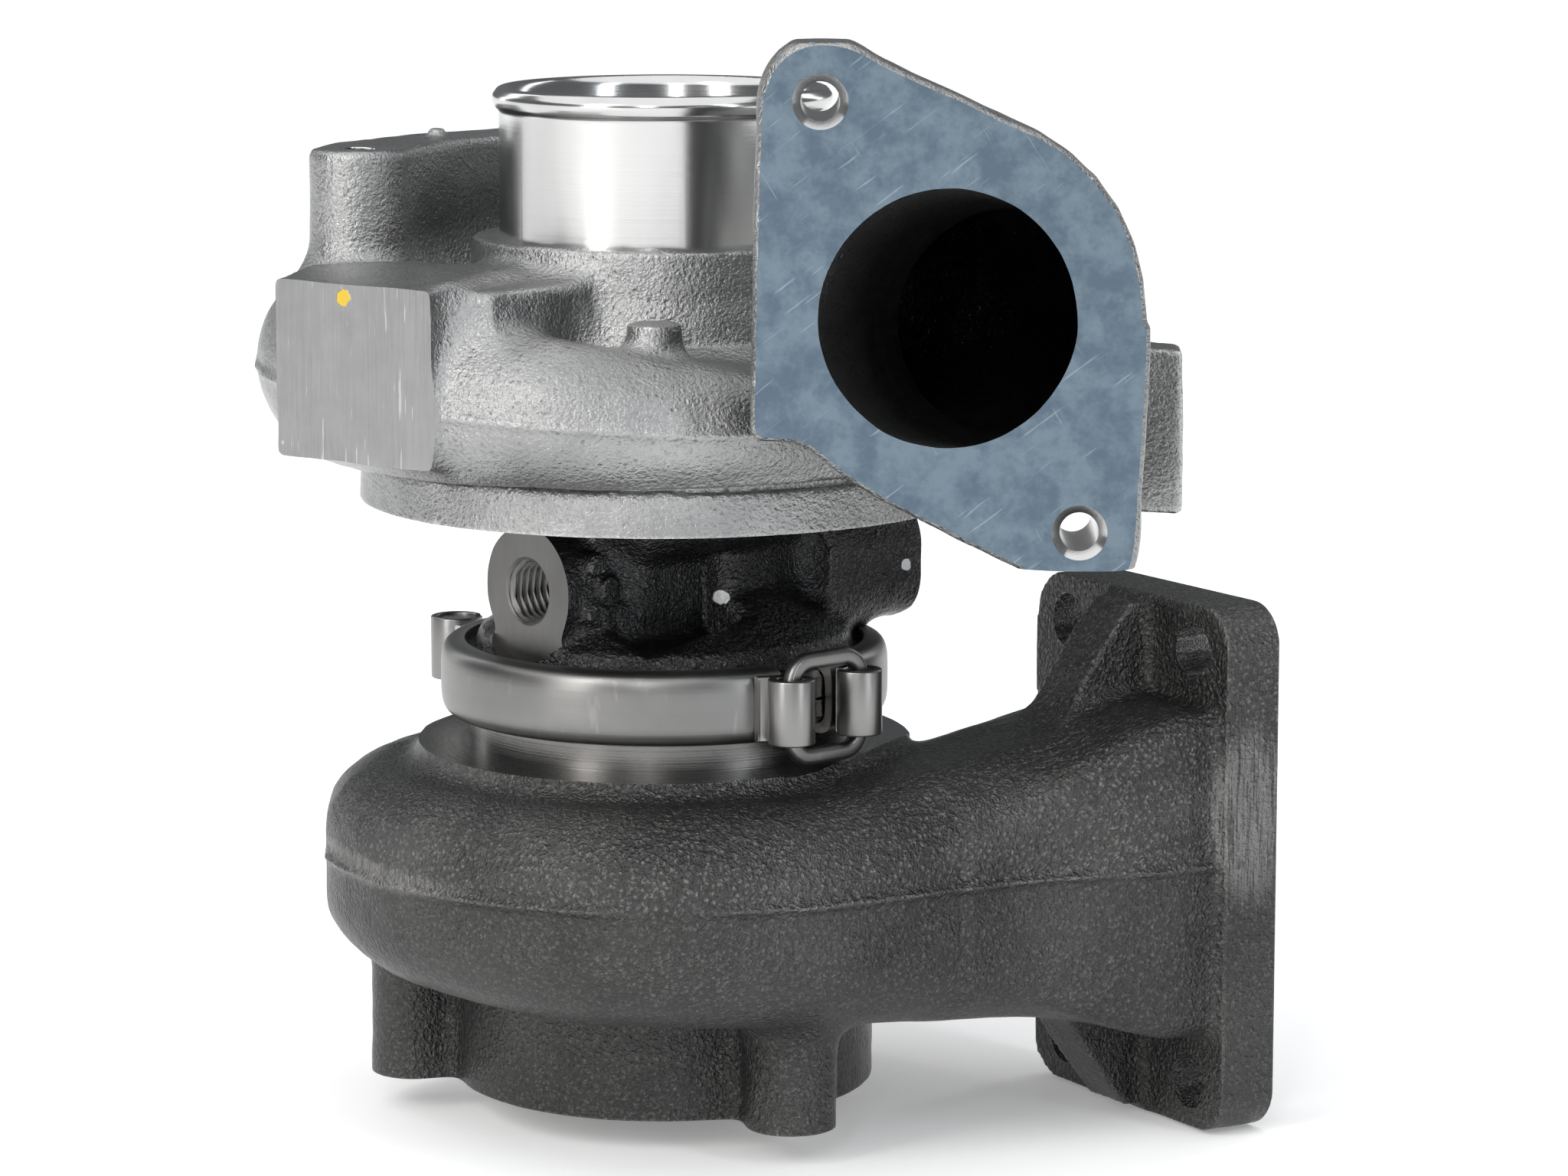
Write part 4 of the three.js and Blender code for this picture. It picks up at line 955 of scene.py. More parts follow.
def turbine_housing():
    room = Room((-74, -68, -9), (116, 60, 96), GRAIN_STEP)
    thing = new_object("turbine_casting", room.surface(turbine_body(room)), GREY_IRON)
    face = slab_shape(rounded_outline(50, 60, 5), lambda a, b, c: on_flange(a, b, c + FLANGE_THICK), 6)
    port = slab_shape(
        rounded_outline(*FLANGE_PORT, 9), lambda a, b, c: on_flange(a, b, c - 6), FLANGE_THICK + 9)
    holes, rims = [], []
    for a in (-FLANGE_BOLTS[0], FLANGE_BOLTS[0]):
        for b in (-FLANGE_BOLTS[1], FLANGE_BOLTS[1]):
            far = on_flange(a, b, FLANGE_THICK + 2)
            holes.append(rod_shape(on_flange(a, b, -8), far, FLANGE_BOLT_R))
            low, high = on_flange(a, b, FLANGE_THICK - 0.6), on_flange(a, b, FLANGE_THICK + 1)
            rims.append(rod_shape(low, high, FLANGE_BOLT_R, FLANGE_BOLT_R + 1.6))
    base = turned_shape([(0, 0), (60, 0), (60, -12), (0, -12)])
    top = turned_shape([(0, PAD_TOP), (PAD_R + 0.6, PAD_TOP), (PAD_R + 0.6, 100), (0, 100)])
    rim_low, face_high = BAND_LOW + 1.9, V_FACE - GAP / 2
    neck = turned_shape(softened([
        (31, 60), (NECK_R, 60), (NECK_R, rim_low), (V_FLANGE_R - 1.1, rim_low),
        (V_FLANGE_R, BAND_LOW + 3.2), (V_FLANGE_R, face_high), (31, face_high)], 0.3))
    bore = turned_shape([
        (0, -1), (25.3, -1), (24.5, 0.5), (21.8, 22), (21.8, 41), (22.7, 45.5), (25, 50), (27.4, 53.7),
        (27.4, 61.4), (31, 61.4), (31, 66), (33.4, 66), (33.4, V_FACE + 1), (0, V_FACE + 1)])
    bolts, mouths = [], []
    for angle in BOSS_ANGLES:
        foot = on_circle(BOSS_RING_R, angle, -1)
        bolts.append(screw_shape(foot, on_circle(BOSS_RING_R, angle, 16), *M8_THREAD))
        mouths.append(rod_shape(foot, on_circle(BOSS_RING_R, angle, 0.6), 4.9, 3.5))
    pin = rod_shape(at_pin(V_FACE - 4.5), at_pin(V_FACE + 1), 1.9)
    # Painted shade: the drilled bolt holes take the darker cast-iron finish, for the shade inside them.
    machine(thing, [
        (face, MILLED_IRON), (merged(*holes), GREY_IRON), (merged(*rims), MILLED_IRON), (port, GREY_IRON),
        (base, TURNED_IRON), (top, TURNED_IRON)])
    machine(thing, [(neck, TURNED_IRON)], "UNION")
    machine(thing, [(shape, TURNED_IRON) for shape in (bore, merged(*mouths), merged(*bolts), pin)])
    finished(thing, "housings", "cast_iron_grey", "turbine_housing")


# ---- V-band clamp ----

def beside(angle, line_radius, along):
    """A point beside the link or the T-bolt, given along and out from its line."""
    point = radial(angle) * line_radius + radial(angle + 90) * along
    return np.array([*point, BAND_MID])


def beside_bolt(along):
    return beside(BOLT_ANGLE, BOLT_LINE_R, along)


def part_turned(outline, start, end, sides=ROUND):
    """An outline swept part of the way round the rotor axis, with closed ends."""
    points, faces = turned_shape(outline, start, end, sides)
    count = len(outline)
    last = len(points) - count
    faces = list(faces) + [tuple(range(count)), tuple(reversed(range(last, last + count)))]
    return points, facing_out(points, faces)


def band_half(start, end):
    """Half of the band: a bowed sheet, outer skin first and inner skin on the way back."""
    depth, half = BAND_R - BAND_INNER_R, (BAND_HIGH - BAND_LOW) / 2
    shares = [math.sin(math.pi / 2 * (i / 12 - 1)) for i in range(25)]

    def bowed(u, inset):
        return BAND_INNER_R - inset + depth * (1 - abs(u) ** 4) ** 0.25, BAND_MID + (half - inset) * u

    profile = [bowed(u, 0) for u in shares] + [bowed(u, BAND_SHEET) for u in shares[-2:0:-1]]
    return part_turned(profile, start, end, 160)


def strap(path, thick):
    """A strip of sheet that follows a path in plan, with softened edges."""
    path = [np.array(p, dtype=float) for p in path]
    rings = []
    for i, point in enumerate(path):
        way = path[min(i + 1, len(path) - 1)] - path[max(i - 1, 0)]
        way /= np.linalg.norm(way)
        out = np.array([way[1], -way[0]])
        outline = rounded_outline(thick / 2, LOOP_TALL / 2, 0.35, 3)
        rings.append([(*(point + out * a), BAND_MID + b) for a, b in outline])
    return outward_skin(rings)


def rolled_loop(centre, radius, thick, from_angle, turn_way):
    """A strap that leaves the band at an angle and rolls round a pin."""
    centre = np.array(centre[:2])
    toward = math.degrees(math.atan2(centre[1], centre[0]))
    reach = BAND_R + thick / 2 + 0.05
    path = [reach * radial(from_angle + (toward + turn_way * -5.5 - from_angle) * i / 8) for i in range(9)]
    mean = radius - thick / 2
    inward = math.degrees(math.atan2(-centre[1], -centre[0]))
    for i in range(25):
        turn = inward + turn_way * (-30 + 330 * i / 24)
        path.append(centre + mean * radial(turn))
    return strap(path, thick)


def clamp_halves():
    link_low, link_high = beside(LINK_ANGLE, LINK_R, -LINK_HALF), beside(LINK_ANGLE, LINK_R, LINK_HALF)
    head, barrel = beside_bolt(BOLT_REACH), beside_bolt(-BOLT_REACH)
    front = merged(
        band_half(BOLT_ANGLE + 14, LINK_ANGLE + 360 - 8),
        rolled_loop(link_low, LINK_LOOP_R, 1.7, LINK_ANGLE - 16, 1),
        rolled_loop(head, HEAD_LOOP_R, 1.2, BOLT_ANGLE + 32, -1),
    )
    rear = merged(
        band_half(LINK_ANGLE + 8, BOLT_ANGLE - 14),
        rolled_loop(link_high, LINK_LOOP_R, 1.7, LINK_ANGLE + 16, -1),
        rolled_loop(barrel, BARREL_LOOP_R, 1.1, BOLT_ANGLE - 34, 1),
    )
    piece("clamp_front_band", front, STAINLESS, "housings", "stainless_sheet", "v_band_front_half")
    piece("clamp_rear_band", rear, STAINLESS, "clamp_rear", "stainless_sheet", "v_band_rear_half")


def link_loop():
    """A closed loop of flat wire that stands upright beside the band."""
    out, across = radial(LINK_ANGLE), radial(LINK_ANGLE + 90)
    path = rounded_outline(LINK_HALF, LINK_TALL / 2 - LINK_WIRE / 2, 4, 8)
    rings = []
    for i, (a, b) in enumerate(path):
        before, after = np.array(path[i - 1]), np.array(path[(i + 1) % len(path)])
        way = (after - before) / np.linalg.norm(after - before)
        normal = np.array([way[1], -way[0]])
        ring = []
        for u, v in rounded_outline(LINK_WIRE / 2, 1.3, 0.9, 4):
            place = out * LINK_R + across * (a + normal[0] * u) + out * v
            ring.append((*place, BAND_MID + b + normal[1] * u))
        rings.append(ring)
    points, faces = skin(rings, closed=True)
    return points, facing_out(points, faces)


def clamp_hardware():
    piece("clamp_link_wire", link_loop(), STAINLESS, "housings", "stainless_sheet", "clamp_link", 50)
    head, middle = beside_bolt(BOLT_REACH), beside_bolt(-BOLT_REACH)
    half = np.array([0, 0, (LOOP_TALL - 1) / 2])
    plain = rod_shape(head, beside_bolt(-6), BOLT_R - 0.1)
    screw = screw_shape(beside_bolt(-5), beside_bolt(-BOLT_END), 2.4, BOLT_R, 1)
    piece("t_bolt", rod_shape(head - half, head + half, 3.3, bevel=0.5), STEEL, "housings",
          "machined_steel", "clamp_t_bolt", joins=[plain, screw])
    clear = rod_shape(beside_bolt(0), beside_bolt(-30), BARREL_BORE)
    piece("barrel_nut_pin", rod_shape(middle - half, middle + half, 5.2, bevel=0.5), STEEL, "clamp_rear",
          "machined_steel", "clamp_barrel", cuts=[clear])
    near = BOLT_REACH + BARREL_LOOP_R + GAP
    start, end = beside_bolt(-near), beside_bolt(-near - 6)
    way = (end - start) / 6
    clear = rod_shape(start - way, end + way, BOLT_R + 0.08)
    piece("lock_nut", hex_shape(start, end, 10), STEEL, "clamp_nut", "machined_steel", "clamp_nut",
          cuts=[clear])
    pin = rod_shape(at_pin(V_FACE - 3.9), at_pin(V_FACE + 3.4), 1.6, bevel=0.3)
    piece("locating_peg", pin, STEEL, "housings", "machined_steel", "locating_pin")


# ---- bearing housing ----

def along_oil(reach, z, across=0.0):
    """A point on the line from the oil inlet, at negative reach, to the oil drain."""
    point = radial(OIL_ANGLE) * reach + radial(OIL_ANGLE + 90) * across
    return (*point, z)


def oil_rod(start, end, *sizes):
    """A round bar along the oil inlet's axis."""
    return rod_shape(along_oil(-start, OIL_IN_Z), along_oil(-end, OIL_IN_Z), *sizes)


def bearing_body(room):
    """The casting before machining: waist, flat-sided block, inlet boss, drain pad and recess."""
    reach, across = room.facing(OIL_ANGLE)
    core = room.turned([
        (0, 66.6), (16, 66.6), (17, 72.5), (27, 72.5), (27.5, 68), (33.1, 68), (33.1, 74), (38.5, 74),
        (38.5, 82), (35.6, 82), (34.4, 85.5), (27, 90), (21.5, 94.5), (20.5, 101), (25, 105), (27, 108),
        (36, PLATE_LOW - 0.6), (48, PLATE_LOW - 0.6), (48, 120), (0, 120),
    ])
    block = np.maximum(rounded(across, room.z - 98.8, 17, 13, 3.5), np.abs(reach - 12) - 30)
    inlet = room.bar(along_oil(-OIL_IN_REACH - 2, OIL_IN_Z), along_oil(-8, OIL_IN_Z), OIL_IN_R)
    pad = np.maximum(rounded(across, room.z - DRAIN_Z, DRAIN_HALF, 10.8, 8), np.abs(reach - 34.5) - 12.5)
    body = core.fillet(Solid(block), 5).fillet(inlet, 4).fillet(Solid(pad), 6)
    recess = rounded(across + 19.5, room.z - 93.5, 5, 7.5, 3)
    body = body.carve(Solid(np.maximum(recess, np.abs(reach + 12.5) - 10)), 4)
    for step, z in ((-26.5, 101), (-23.5, 96.5), (-26.8, 92), (-22.6, 91.2)):
        lump = room.bar(along_oil(step, z, -10), along_oil(step, z, -13.2), 2.0)
        body = body.fillet(lump, 1.6)
    body = body.fillet(room.bar(along_oil(-24, 84.5, 3), along_oil(-29.5, 84.5, 3), 3.4), 3)
    body.depth = body.depth + room.wobble(8, 0.25, 21) + room.wobble(2.8, 0.12, 22)
    return body


def bearing_housing():
    room = Room((-55, -55, 62), (55, 55, 124), GRAIN_STEP)
    thing = new_object("bearing_casting", room.surface(bearing_body(room)), BLACK_IRON)
    low, high = V_FACE + GAP / 2, BAND_HIGH - 1.9
    rim = turned_shape(softened([
        (24, low), (V_FLANGE_R, low), (V_FLANGE_R, 80.3), (V_FLANGE_R - 1.1, high), (24, high)], 0.3))
    plate = turned_shape(softened([
        (24, PLATE_LOW), (PLATE_R, PLATE_LOW), (PLATE_R, 115.9), (47.8, 115.9), (47.8, 118.6),
        (PLATE_R, 118.6), (PLATE_R, PLATE_HIGH), (24, PLATE_HIGH)], 0.3))
    top = turned_shape([(0, PLATE_HIGH - 1.2), (23.9, PLATE_HIGH - 1.2), (23.9, 126), (0, 126)])
    bush = BUSH_R + 0.08
    main = turned_shape([
        (0, 60), (HUB_R + 0.3, 60), (HUB_R + 0.3, 74.5), (13, 74.5), (13, 78), (bush, 78), (bush, 78.2),
        (RELIEF_R, 78.2), (RELIEF_R, 79.4), (bush, 79.4), (bush, 87.6), (RELIEF_R, 87.6), (RELIEF_R, 95.9),
        (bush, 95.9), (bush, 105.1), (RELIEF_R, 105.1), (RELIEF_R, 106.3), (bush, 106.3), (bush, 107),
        (19.8, 107), (19.8, 114.6), (INSERT_BORE, 114.6), (INSERT_BORE, 118.9), (26.4, 118.9),
        (26.4, 120.1), (INSERT_BORE, 120.1), (INSERT_BORE, 130), (0, 130)])
    inlet_face = oil_rod(OIL_IN_REACH, OIL_IN_REACH + 6, 13.5)
    mouth = oil_rod(OIL_IN_REACH + 1, OIL_IN_REACH - 1, 7.6, 5.2)
    start, end = along_oil(-OIL_IN_REACH - 1, OIL_IN_Z), along_oil(-19, OIL_IN_Z)
    thread = screw_shape(start, end, 5.2, 6.2, 1.5, 40)
    feed = rod_shape(along_oil(-20, OIL_IN_Z), along_oil(-7, 92), 1.8)
    pad_face = slab_shape(
        rounded_outline(24, 13, 4), lambda a, b, c: along_oil(DRAIN_REACH + c, DRAIN_Z + b, a), 5)
    drain = rod_shape(along_oil(DRAIN_REACH + 1, DRAIN_Z), along_oil(15.5, DRAIN_Z), 7)
    gallery = rod_shape(along_oil(16, 76), along_oil(16, 108), 3.4)
    bolts = []
    for across in (-15.5, 15.5):
        start = along_oil(DRAIN_REACH + 1, DRAIN_Z, across)
        end = along_oil(DRAIN_REACH - 12, DRAIN_Z, across)
        bolts.append(screw_shape(start, end, 3.0, 3.5, 1.25))
    pin = rod_shape(at_pin(V_FACE - 1), at_pin(V_FACE + 4), 1.9)
    machine(thing, [(rim, TURNED_IRON), (plate, TURNED_IRON)], "UNION")
    machine(thing, [(top, TURNED_IRON), (main, TURNED_IRON)])
    machine(thing, [(shape, MILLED_IRON) for shape in (inlet_face, mouth, thread, feed, pad_face, drain)])
    machine(thing, [(gallery, BLACK_IRON), (merged(*bolts), MILLED_IRON), (pin, TURNED_IRON)])
    finished(thing, "housings", "cast_iron_black", "bearing_housing")


# ---- compressor housing ----

def bend(start, control, end):
    """Points along a short curve that leaves and arrives towards a control point."""
    spots = []
    for i in range(7):
        t = i / 6
        spots.append(tuple(
            (1 - t) ** 2 * s + 2 * t * (1 - t) * c + t * t * e for s, c, e in zip(start, control, end)))
    return spots


def outlet_outline():
    """The outlet plate's edge as (x, z), with its corners drawn as short curves."""
    return [
        (16.5, 132),
        *bend((17.2, 170), (17.5, 185), (18.4, 190)),
        *bend((18.4, 190), (20.5, 198.5), (28.5, 198.8))[1:],
        *bend((28.5, 198.8), (33, 198.8), (37, 196.6))[1:],
        *bend((66, 183.2), (83.8, 173.5), (84.8, 150.5)),
        (85.3, 150), (85.3, 137),
        *bend((83.4, 112), (82.8, 104), (76.5, 103.5)),
        (70, 103.5), (67.8, 105.4),
        *bend((44, 117.4), (34, 122), (28.6, 127.5)),
        *bend((28.6, 127.5), (25.5, 130), (21, 130))[1:],
        (18, 130),
    ]


def compressor_air(room, wall):
    """Depth of the scroll and of the discharge duct, thickened by a wall."""
    turned = np.mod(SCROLL_START - room.angle, 360)
    radius = SCROLL_END_R * np.sqrt(np.where(turned < SCROLL_SWEEP, turned, 0) / 360)
    centre_z = FLOOR_Z + radius
    scroll = np.hypot(room.r - SCROLL_INNER_R - radius, room.z - centre_z) - radius - wall
    start_r = SCROLL_END_R * math.sqrt(SCROLL_SWEEP / 360)
    share = np.clip(-room.y / -OUTLET_Y, 0, 1)
    turn = share ** 1.3
    across = room.x - mix(SCROLL_INNER_R + start_r, OUTLET_X, turn)
    up = room.z - mix(FLOOR_Z + start_r, OUTLET_Z, turn)
    duct = np.hypot(across, up) - mix(start_r, SCROLL_END_R, share) - wall
    duct = np.maximum(duct, room.y - 0.6)
    return scroll, duct, radius


def with_bosses(room, body):
    """The body with the bracket wall, corner block, pip, outlet bosses and side lug blended on."""
    held = np.where(room.angle < -90, room.angle + 360, room.angle)
    held = np.radians(np.clip(held, WALL_TO, WALL_FROM))
    middle, half = (WALL_INNER_R + WALL_OUTER_R) / 2, (WALL_OUTER_R - WALL_INNER_R) / 2
    standing = np.hypot(room.x - middle * np.cos(held), room.y - middle * np.sin(held)) - half + 1.5
    tall = np.abs(room.z - 150) - (WALL_TOP - 150) + 1.5
    outside = np.hypot(np.maximum(standing, 0), np.maximum(tall, 0))
    wall = outside + np.minimum(np.maximum(standing, tall), 0) - 1.5
    body = body.fillet(Solid(wall), 6)
    pip = room.bar(on_circle(middle, 140, WALL_TOP - 3), on_circle(middle, 140, WALL_TOP + 1.6), 2.2, 1.5)
    body = body.fillet(pip, 1.5)
    foot = [
        (BLOCK_LEFT[0] - 0.8, BLOCK_LEFT[1] - 1.0), (BLOCK_RIGHT[0] - 0.6, BLOCK_RIGHT[1] - 1.2),
        (BLOCK_RIGHT[0] + 9, BLOCK_RIGHT[1] + 22), (-22, -22), (-46, -6),
        (BLOCK_LEFT[0] + BLOCK_INWARD[0] * 8 - 1.4, BLOCK_LEFT[1] + BLOCK_INWARD[1] * 34)]
    body = body.fillet(room.upright(foot, BLOCK_LOW, BLOCK_HIGH, 1.0), 4)
    saddle = [(-38, -52), (-29, -52), (-14, -36), (-10, -20), (-40, -20)]
    body = body.fillet(room.upright(saddle, 138, BLOCK_HIGH - 1, 2), 6)
    body = body.fillet(room.bar((-0.6, -47, 134), (-0.6, -47, 147.5), 5.8, 4.8), 4)
    for (x, z), lift, radius in zip(OUTLET_BOLTS, (1.3, -1.2), (8.8, 9.2)):
        start, end = (x, OUTLET_Y + 3, z + lift), (x, OUTLET_Y + 24, z + lift)
        body = body.fillet(room.bar(start, end, radius, 8), 4)
    return body.fillet(room.upright([(68, -33), (93.6, -40.6), (93.6, -31), (69, -19)], 112.4, 142, 1), 4)


def compressor_body(room):
    """The casting before machining, with its air passages."""
    scroll, duct, radius = compressor_air(room, ALLOY_WALL)
    widest = FLOOR_Z + radius
    seam = np.exp(-((room.z - np.maximum(widest, 129.5)) / 0.75) ** 2) * 0.75
    duct = np.maximum(duct, OUTLET_Y - 2 - room.y)
    body = Solid(np.minimum(scroll - seam, duct))
    outer = SCROLL_INNER_R + 2 * radius + ALLOY_WALL - 0.4
    rise = ((room.z - SKIRT_LOW) / (widest - SKIRT_LOW + 0.01)).clip(0, 1)
    skirt = (room.r - mix(57.4, np.maximum(outer, 57.4), rise)) * 0.85
    skirt = np.maximum(skirt, np.maximum(SKIRT_LOW - room.z, room.z - widest))
    core = room.turned([
        (0, LIP_LOW - 2), (LIP_R, LIP_LOW - 2), (LIP_R, LIP_HIGH), (55.4, LIP_HIGH + 0.5),
        (55.4, FLOOR_Z + 1.5), (55.5, FLOOR_Z + 3), (47, 138), (38, 142), (35.6, 150), (34.8, TUBE_LOW),
        (0, TUBE_LOW)], 0.3)
    body = body.fillet(core, 5).fillet(Solid(skirt), 1.2)
    body = body & Solid(np.where(room.z < LIP_HIGH, room.r - LIP_R, -9))
    groove = np.maximum(np.maximum(55.0 - room.r, np.abs(room.z - 119.0) - 0.6), room.r - 62)
    body = body.carve(Solid(groove), 0.6)
    outline = to_outline(room.x, room.z, outlet_outline())
    plate = np.maximum(outline, np.abs(room.y - OUTLET_Y - 4) - 6)
    plate = np.maximum(plate, (outline - room.y + OUTLET_Y + 0.8) * 0.7)
    body = with_bosses(room, body.fillet(Solid(plate), 4))
    air, outflow, radius = compressor_air(room, 0)
    corner = np.maximum(np.maximum(SCROLL_INNER_R - room.r, room.r - SCROLL_INNER_R - radius),
                        np.maximum(FLOOR_Z - room.z, room.z - FLOOR_Z - radius))
    air = np.minimum(air, np.where(radius > 4, corner, 9))
    body = body - Solid(np.minimum(air, outflow))
    body.depth = body.depth + room.wobble(10, 0.25, 31) + room.wobble(3.4, 0.1, 32)
    return room.kept_inside(body, "compressor_housing", 3)


def compressor_housing():
    room = Room((-80, -80, 108), (98, 86, 203), GRAIN_STEP)
    thing = new_object("compressor_casting", room.surface(compressor_body(room)), CAST_ALUMINIUM)
    tube = turned_shape(softened([
        (20, 150), (TUBE_R, 150), (TUBE_R, BEAD_LOW - 1), (BEAD_R - 0.4, BEAD_LOW - 0.4),
        (BEAD_R, BEAD_LOW + 0.9), (BEAD_R, INLET_TOP - 1.5), (BEAD_R - 0.9, INLET_TOP - 0.3),
        (BEAD_R - 1.6, INLET_TOP), (20, INLET_TOP)], 0.8), sides=160)
    machine(thing, [(tube, TURNED_ALUMINIUM)], "UNION")
    bores = turned_shape([
        (0, LIP_LOW - 8), (58, LIP_LOW - 8), (58, LIP_LOW), (52.3, LIP_LOW), (51.8, LIP_LOW + 0.5),
        (50, 111.1), (51.8, 111.1), (51.8, 112.7), (50, 112.7), (50, FLOOR_Z), (44, FLOOR_Z), (44, ROOF_Z),
        (29.4, ROOF_Z), (25.6, 128.1), (23, 132.9), (21.8, 139), (21.7, 150), (22.4, 155), (27.2, 165),
        (28, 178), (28, INLET_TOP - 2), (28.5, INLET_TOP - 0.7), (29.6, INLET_TOP), (29.6, INLET_TOP + 1),
        (0, INLET_TOP + 1)], sides=160)
    outlet_face = slab_shape(
        rounded_outline(60, 60, 5), lambda a, b, c: (OUTLET_X + a, OUTLET_Y - c, OUTLET_Z + b), 12)
    run = np.array(BLOCK_RIGHT) - np.array(BLOCK_LEFT)
    run /= np.linalg.norm(run)
    start = np.array(BLOCK_LEFT) - 4 * run

    def before_block(a, b, c):
        return (*(start + run * (a + 21) - np.array(BLOCK_INWARD) * c), 138.5 + b)

    linished = slab_shape(rounded_outline(30, 20, 3), before_block, 6)
    holes = [rod_shape((x, OUTLET_Y - 1, z), (x, OUTLET_Y + 26, z), 3.4) for x, z in OUTLET_BOLTS]
    mouths = [rod_shape((x, OUTLET_Y - 0.5, z), (x, OUTLET_Y + 1.4, z), 5.3, 3.4) for x, z in OUTLET_BOLTS]
    wall_bolts = []
    for angle in (WALL_TO, WALL_FROM):
        bottom, top = on_circle(57.5, angle, WALL_TOP - 14), on_circle(57.5, angle, WALL_TOP + 1)
        wall_bolts.append(screw_shape(bottom, top, *M8_THREAD))
    machine(thing, [
        (bores, TURNED_ALUMINIUM), (outlet_face, MILLED_ALUMINIUM), (linished, LINISHED_ALUMINIUM)])
    machine(thing, [(merged(*shapes), TURNED_ALUMINIUM) for shapes in (holes, mouths, wall_bolts)])
    finished(thing, "housings", "cast_aluminium", "compressor_housing")


# ---- wheels ----

def line_through(stops, share):
    """A point at a share of a smooth line through stops."""
    place = share * (len(stops) - 1)
    k = min(int(place), len(stops) - 2)
    t = place - k
    p = [np.array(stops[max(0, min(len(stops) - 1, k + d))]) for d in (-1, 0, 1, 2)]
    return 0.5 * (2 * p[1] + (p[2] - p[0]) * t + (2 * p[0] - 5 * p[1] + 4 * p[2] - p[3]) * t * t
                  + (3 * p[1] - p[0] - 3 * p[2] + p[3]) * t ** 3)


def vane(root, tip, wrap, thick, start, steps=18, rows=4):
    """A blade that tapers towards its tip and has rounded edges along the flow."""
    rings = []
    for i in range(steps + 1):
        share = i / steps
        low, high = line_through(root, share), line_through(tip, share)
        edge = min(1.0, 0.35 + 6 * min(share, 1 - share))
        sides = [[], []]
        for j in range(rows + 1):
            rise = j / rows
            r, z = low + (high - low) * rise
            half = thick * (1 - 0.55 * rise) * edge / 2
            for k, side in enumerate((-1, 1)):
                turn = start + wrap(share) + math.degrees(side * half / r)
                sides[k].append(on_circle(r, turn, z))
        rings.append(sides[0] + sides[1][::-1])
    return outward_skin(rings)


def turbine_wheel():
    hub = [(0, 33), (3.6, 33.3), (5, 34.2), (6.8, 38), (8.6, 47), (12.5, 54), (18, 58.4), (26.9, 61),
           (26.9, 62), (0, 62)]
    root = [(26.3, 61.4), (17, 58.4), (10, 50.5), (7.4, 43), (5.6, 36.4)]
    tip = [(26.9, 54.2), (24.6, 50), (22.3, 45.5), (21.5, 41), (21.4, 36)]
    vanes = [vane(root, tip, lambda share: 48 * share ** 2, 1.8, 360 * i / 11) for i in range(11)]
    piece("hot_wheel", turned_shape(hub), NICKEL, "rotor", "nickel_alloy", "turbine_wheel", 45, joins=vanes)


def compressor_wheel():
    hub = [(0, 121.3), (29, 121.3), (29, 122.3), (20, 124.4), (13, 129.5), (9.4, 137), (8, 145), (7.2, 147),
           (0, 147)]
    root = [(7.4, 145.2), (8.6, 137.5), (12.4, 129.0), (18.8, 124.0), (28.5, 121.9)]
    tip = [(21.2, 145.4), (21.3, 139), (22.6, 132.5), (25.2, 127.7), (28.9, 124.8)]

    def wrap(share):
        return 72 * share - 8 * share ** 2

    def late_wrap(share):
        return wrap(0.3 + 0.7 * share)

    vanes = []
    for i in range(6):
        vanes.append(vane(root, tip, wrap, 1.1, 60 * i))
        vanes.append(vane([(8.7, 137), *root[2:]], [(21.4, 138), *tip[2:]], late_wrap, 1.1, 60 * i + 30))
    bore = rod_shape((0, 0, 120), (0, 0, 150), STUB_R + GAP)
    piece("cold_wheel", turned_shape(hub), WHEEL_ALLOY, "rotor", "wheel_aluminium", "compressor_wheel", 45,
          cuts=[bore], joins=vanes)


# ---- turned and sprung pieces inside ----

def block_outline(inner, outer, low, high):
    return [(inner, low), (outer, low), (outer, high), (inner, high)]


def round_piece(name, outline, corner, material, body, slot, node, **others):
    """A turned piece with softened corners."""
    piece(name, turned_shape(softened(outline, corner, 2)), material, body, slot, node, **others)


def split_ring(name, inner, outer, low, high, gap, angle, node):
    """A sprung ring with a gap."""
    opening = math.degrees(gap / ((inner + outer) / 2)) / 2
    outline = softened(block_outline(inner, outer, low, high), 0.15, 2)
    ring = part_turned(outline, angle + opening, angle + 360 - opening)
    piece(name, ring, SPRING_STEEL, "housings", "spring_steel", node)


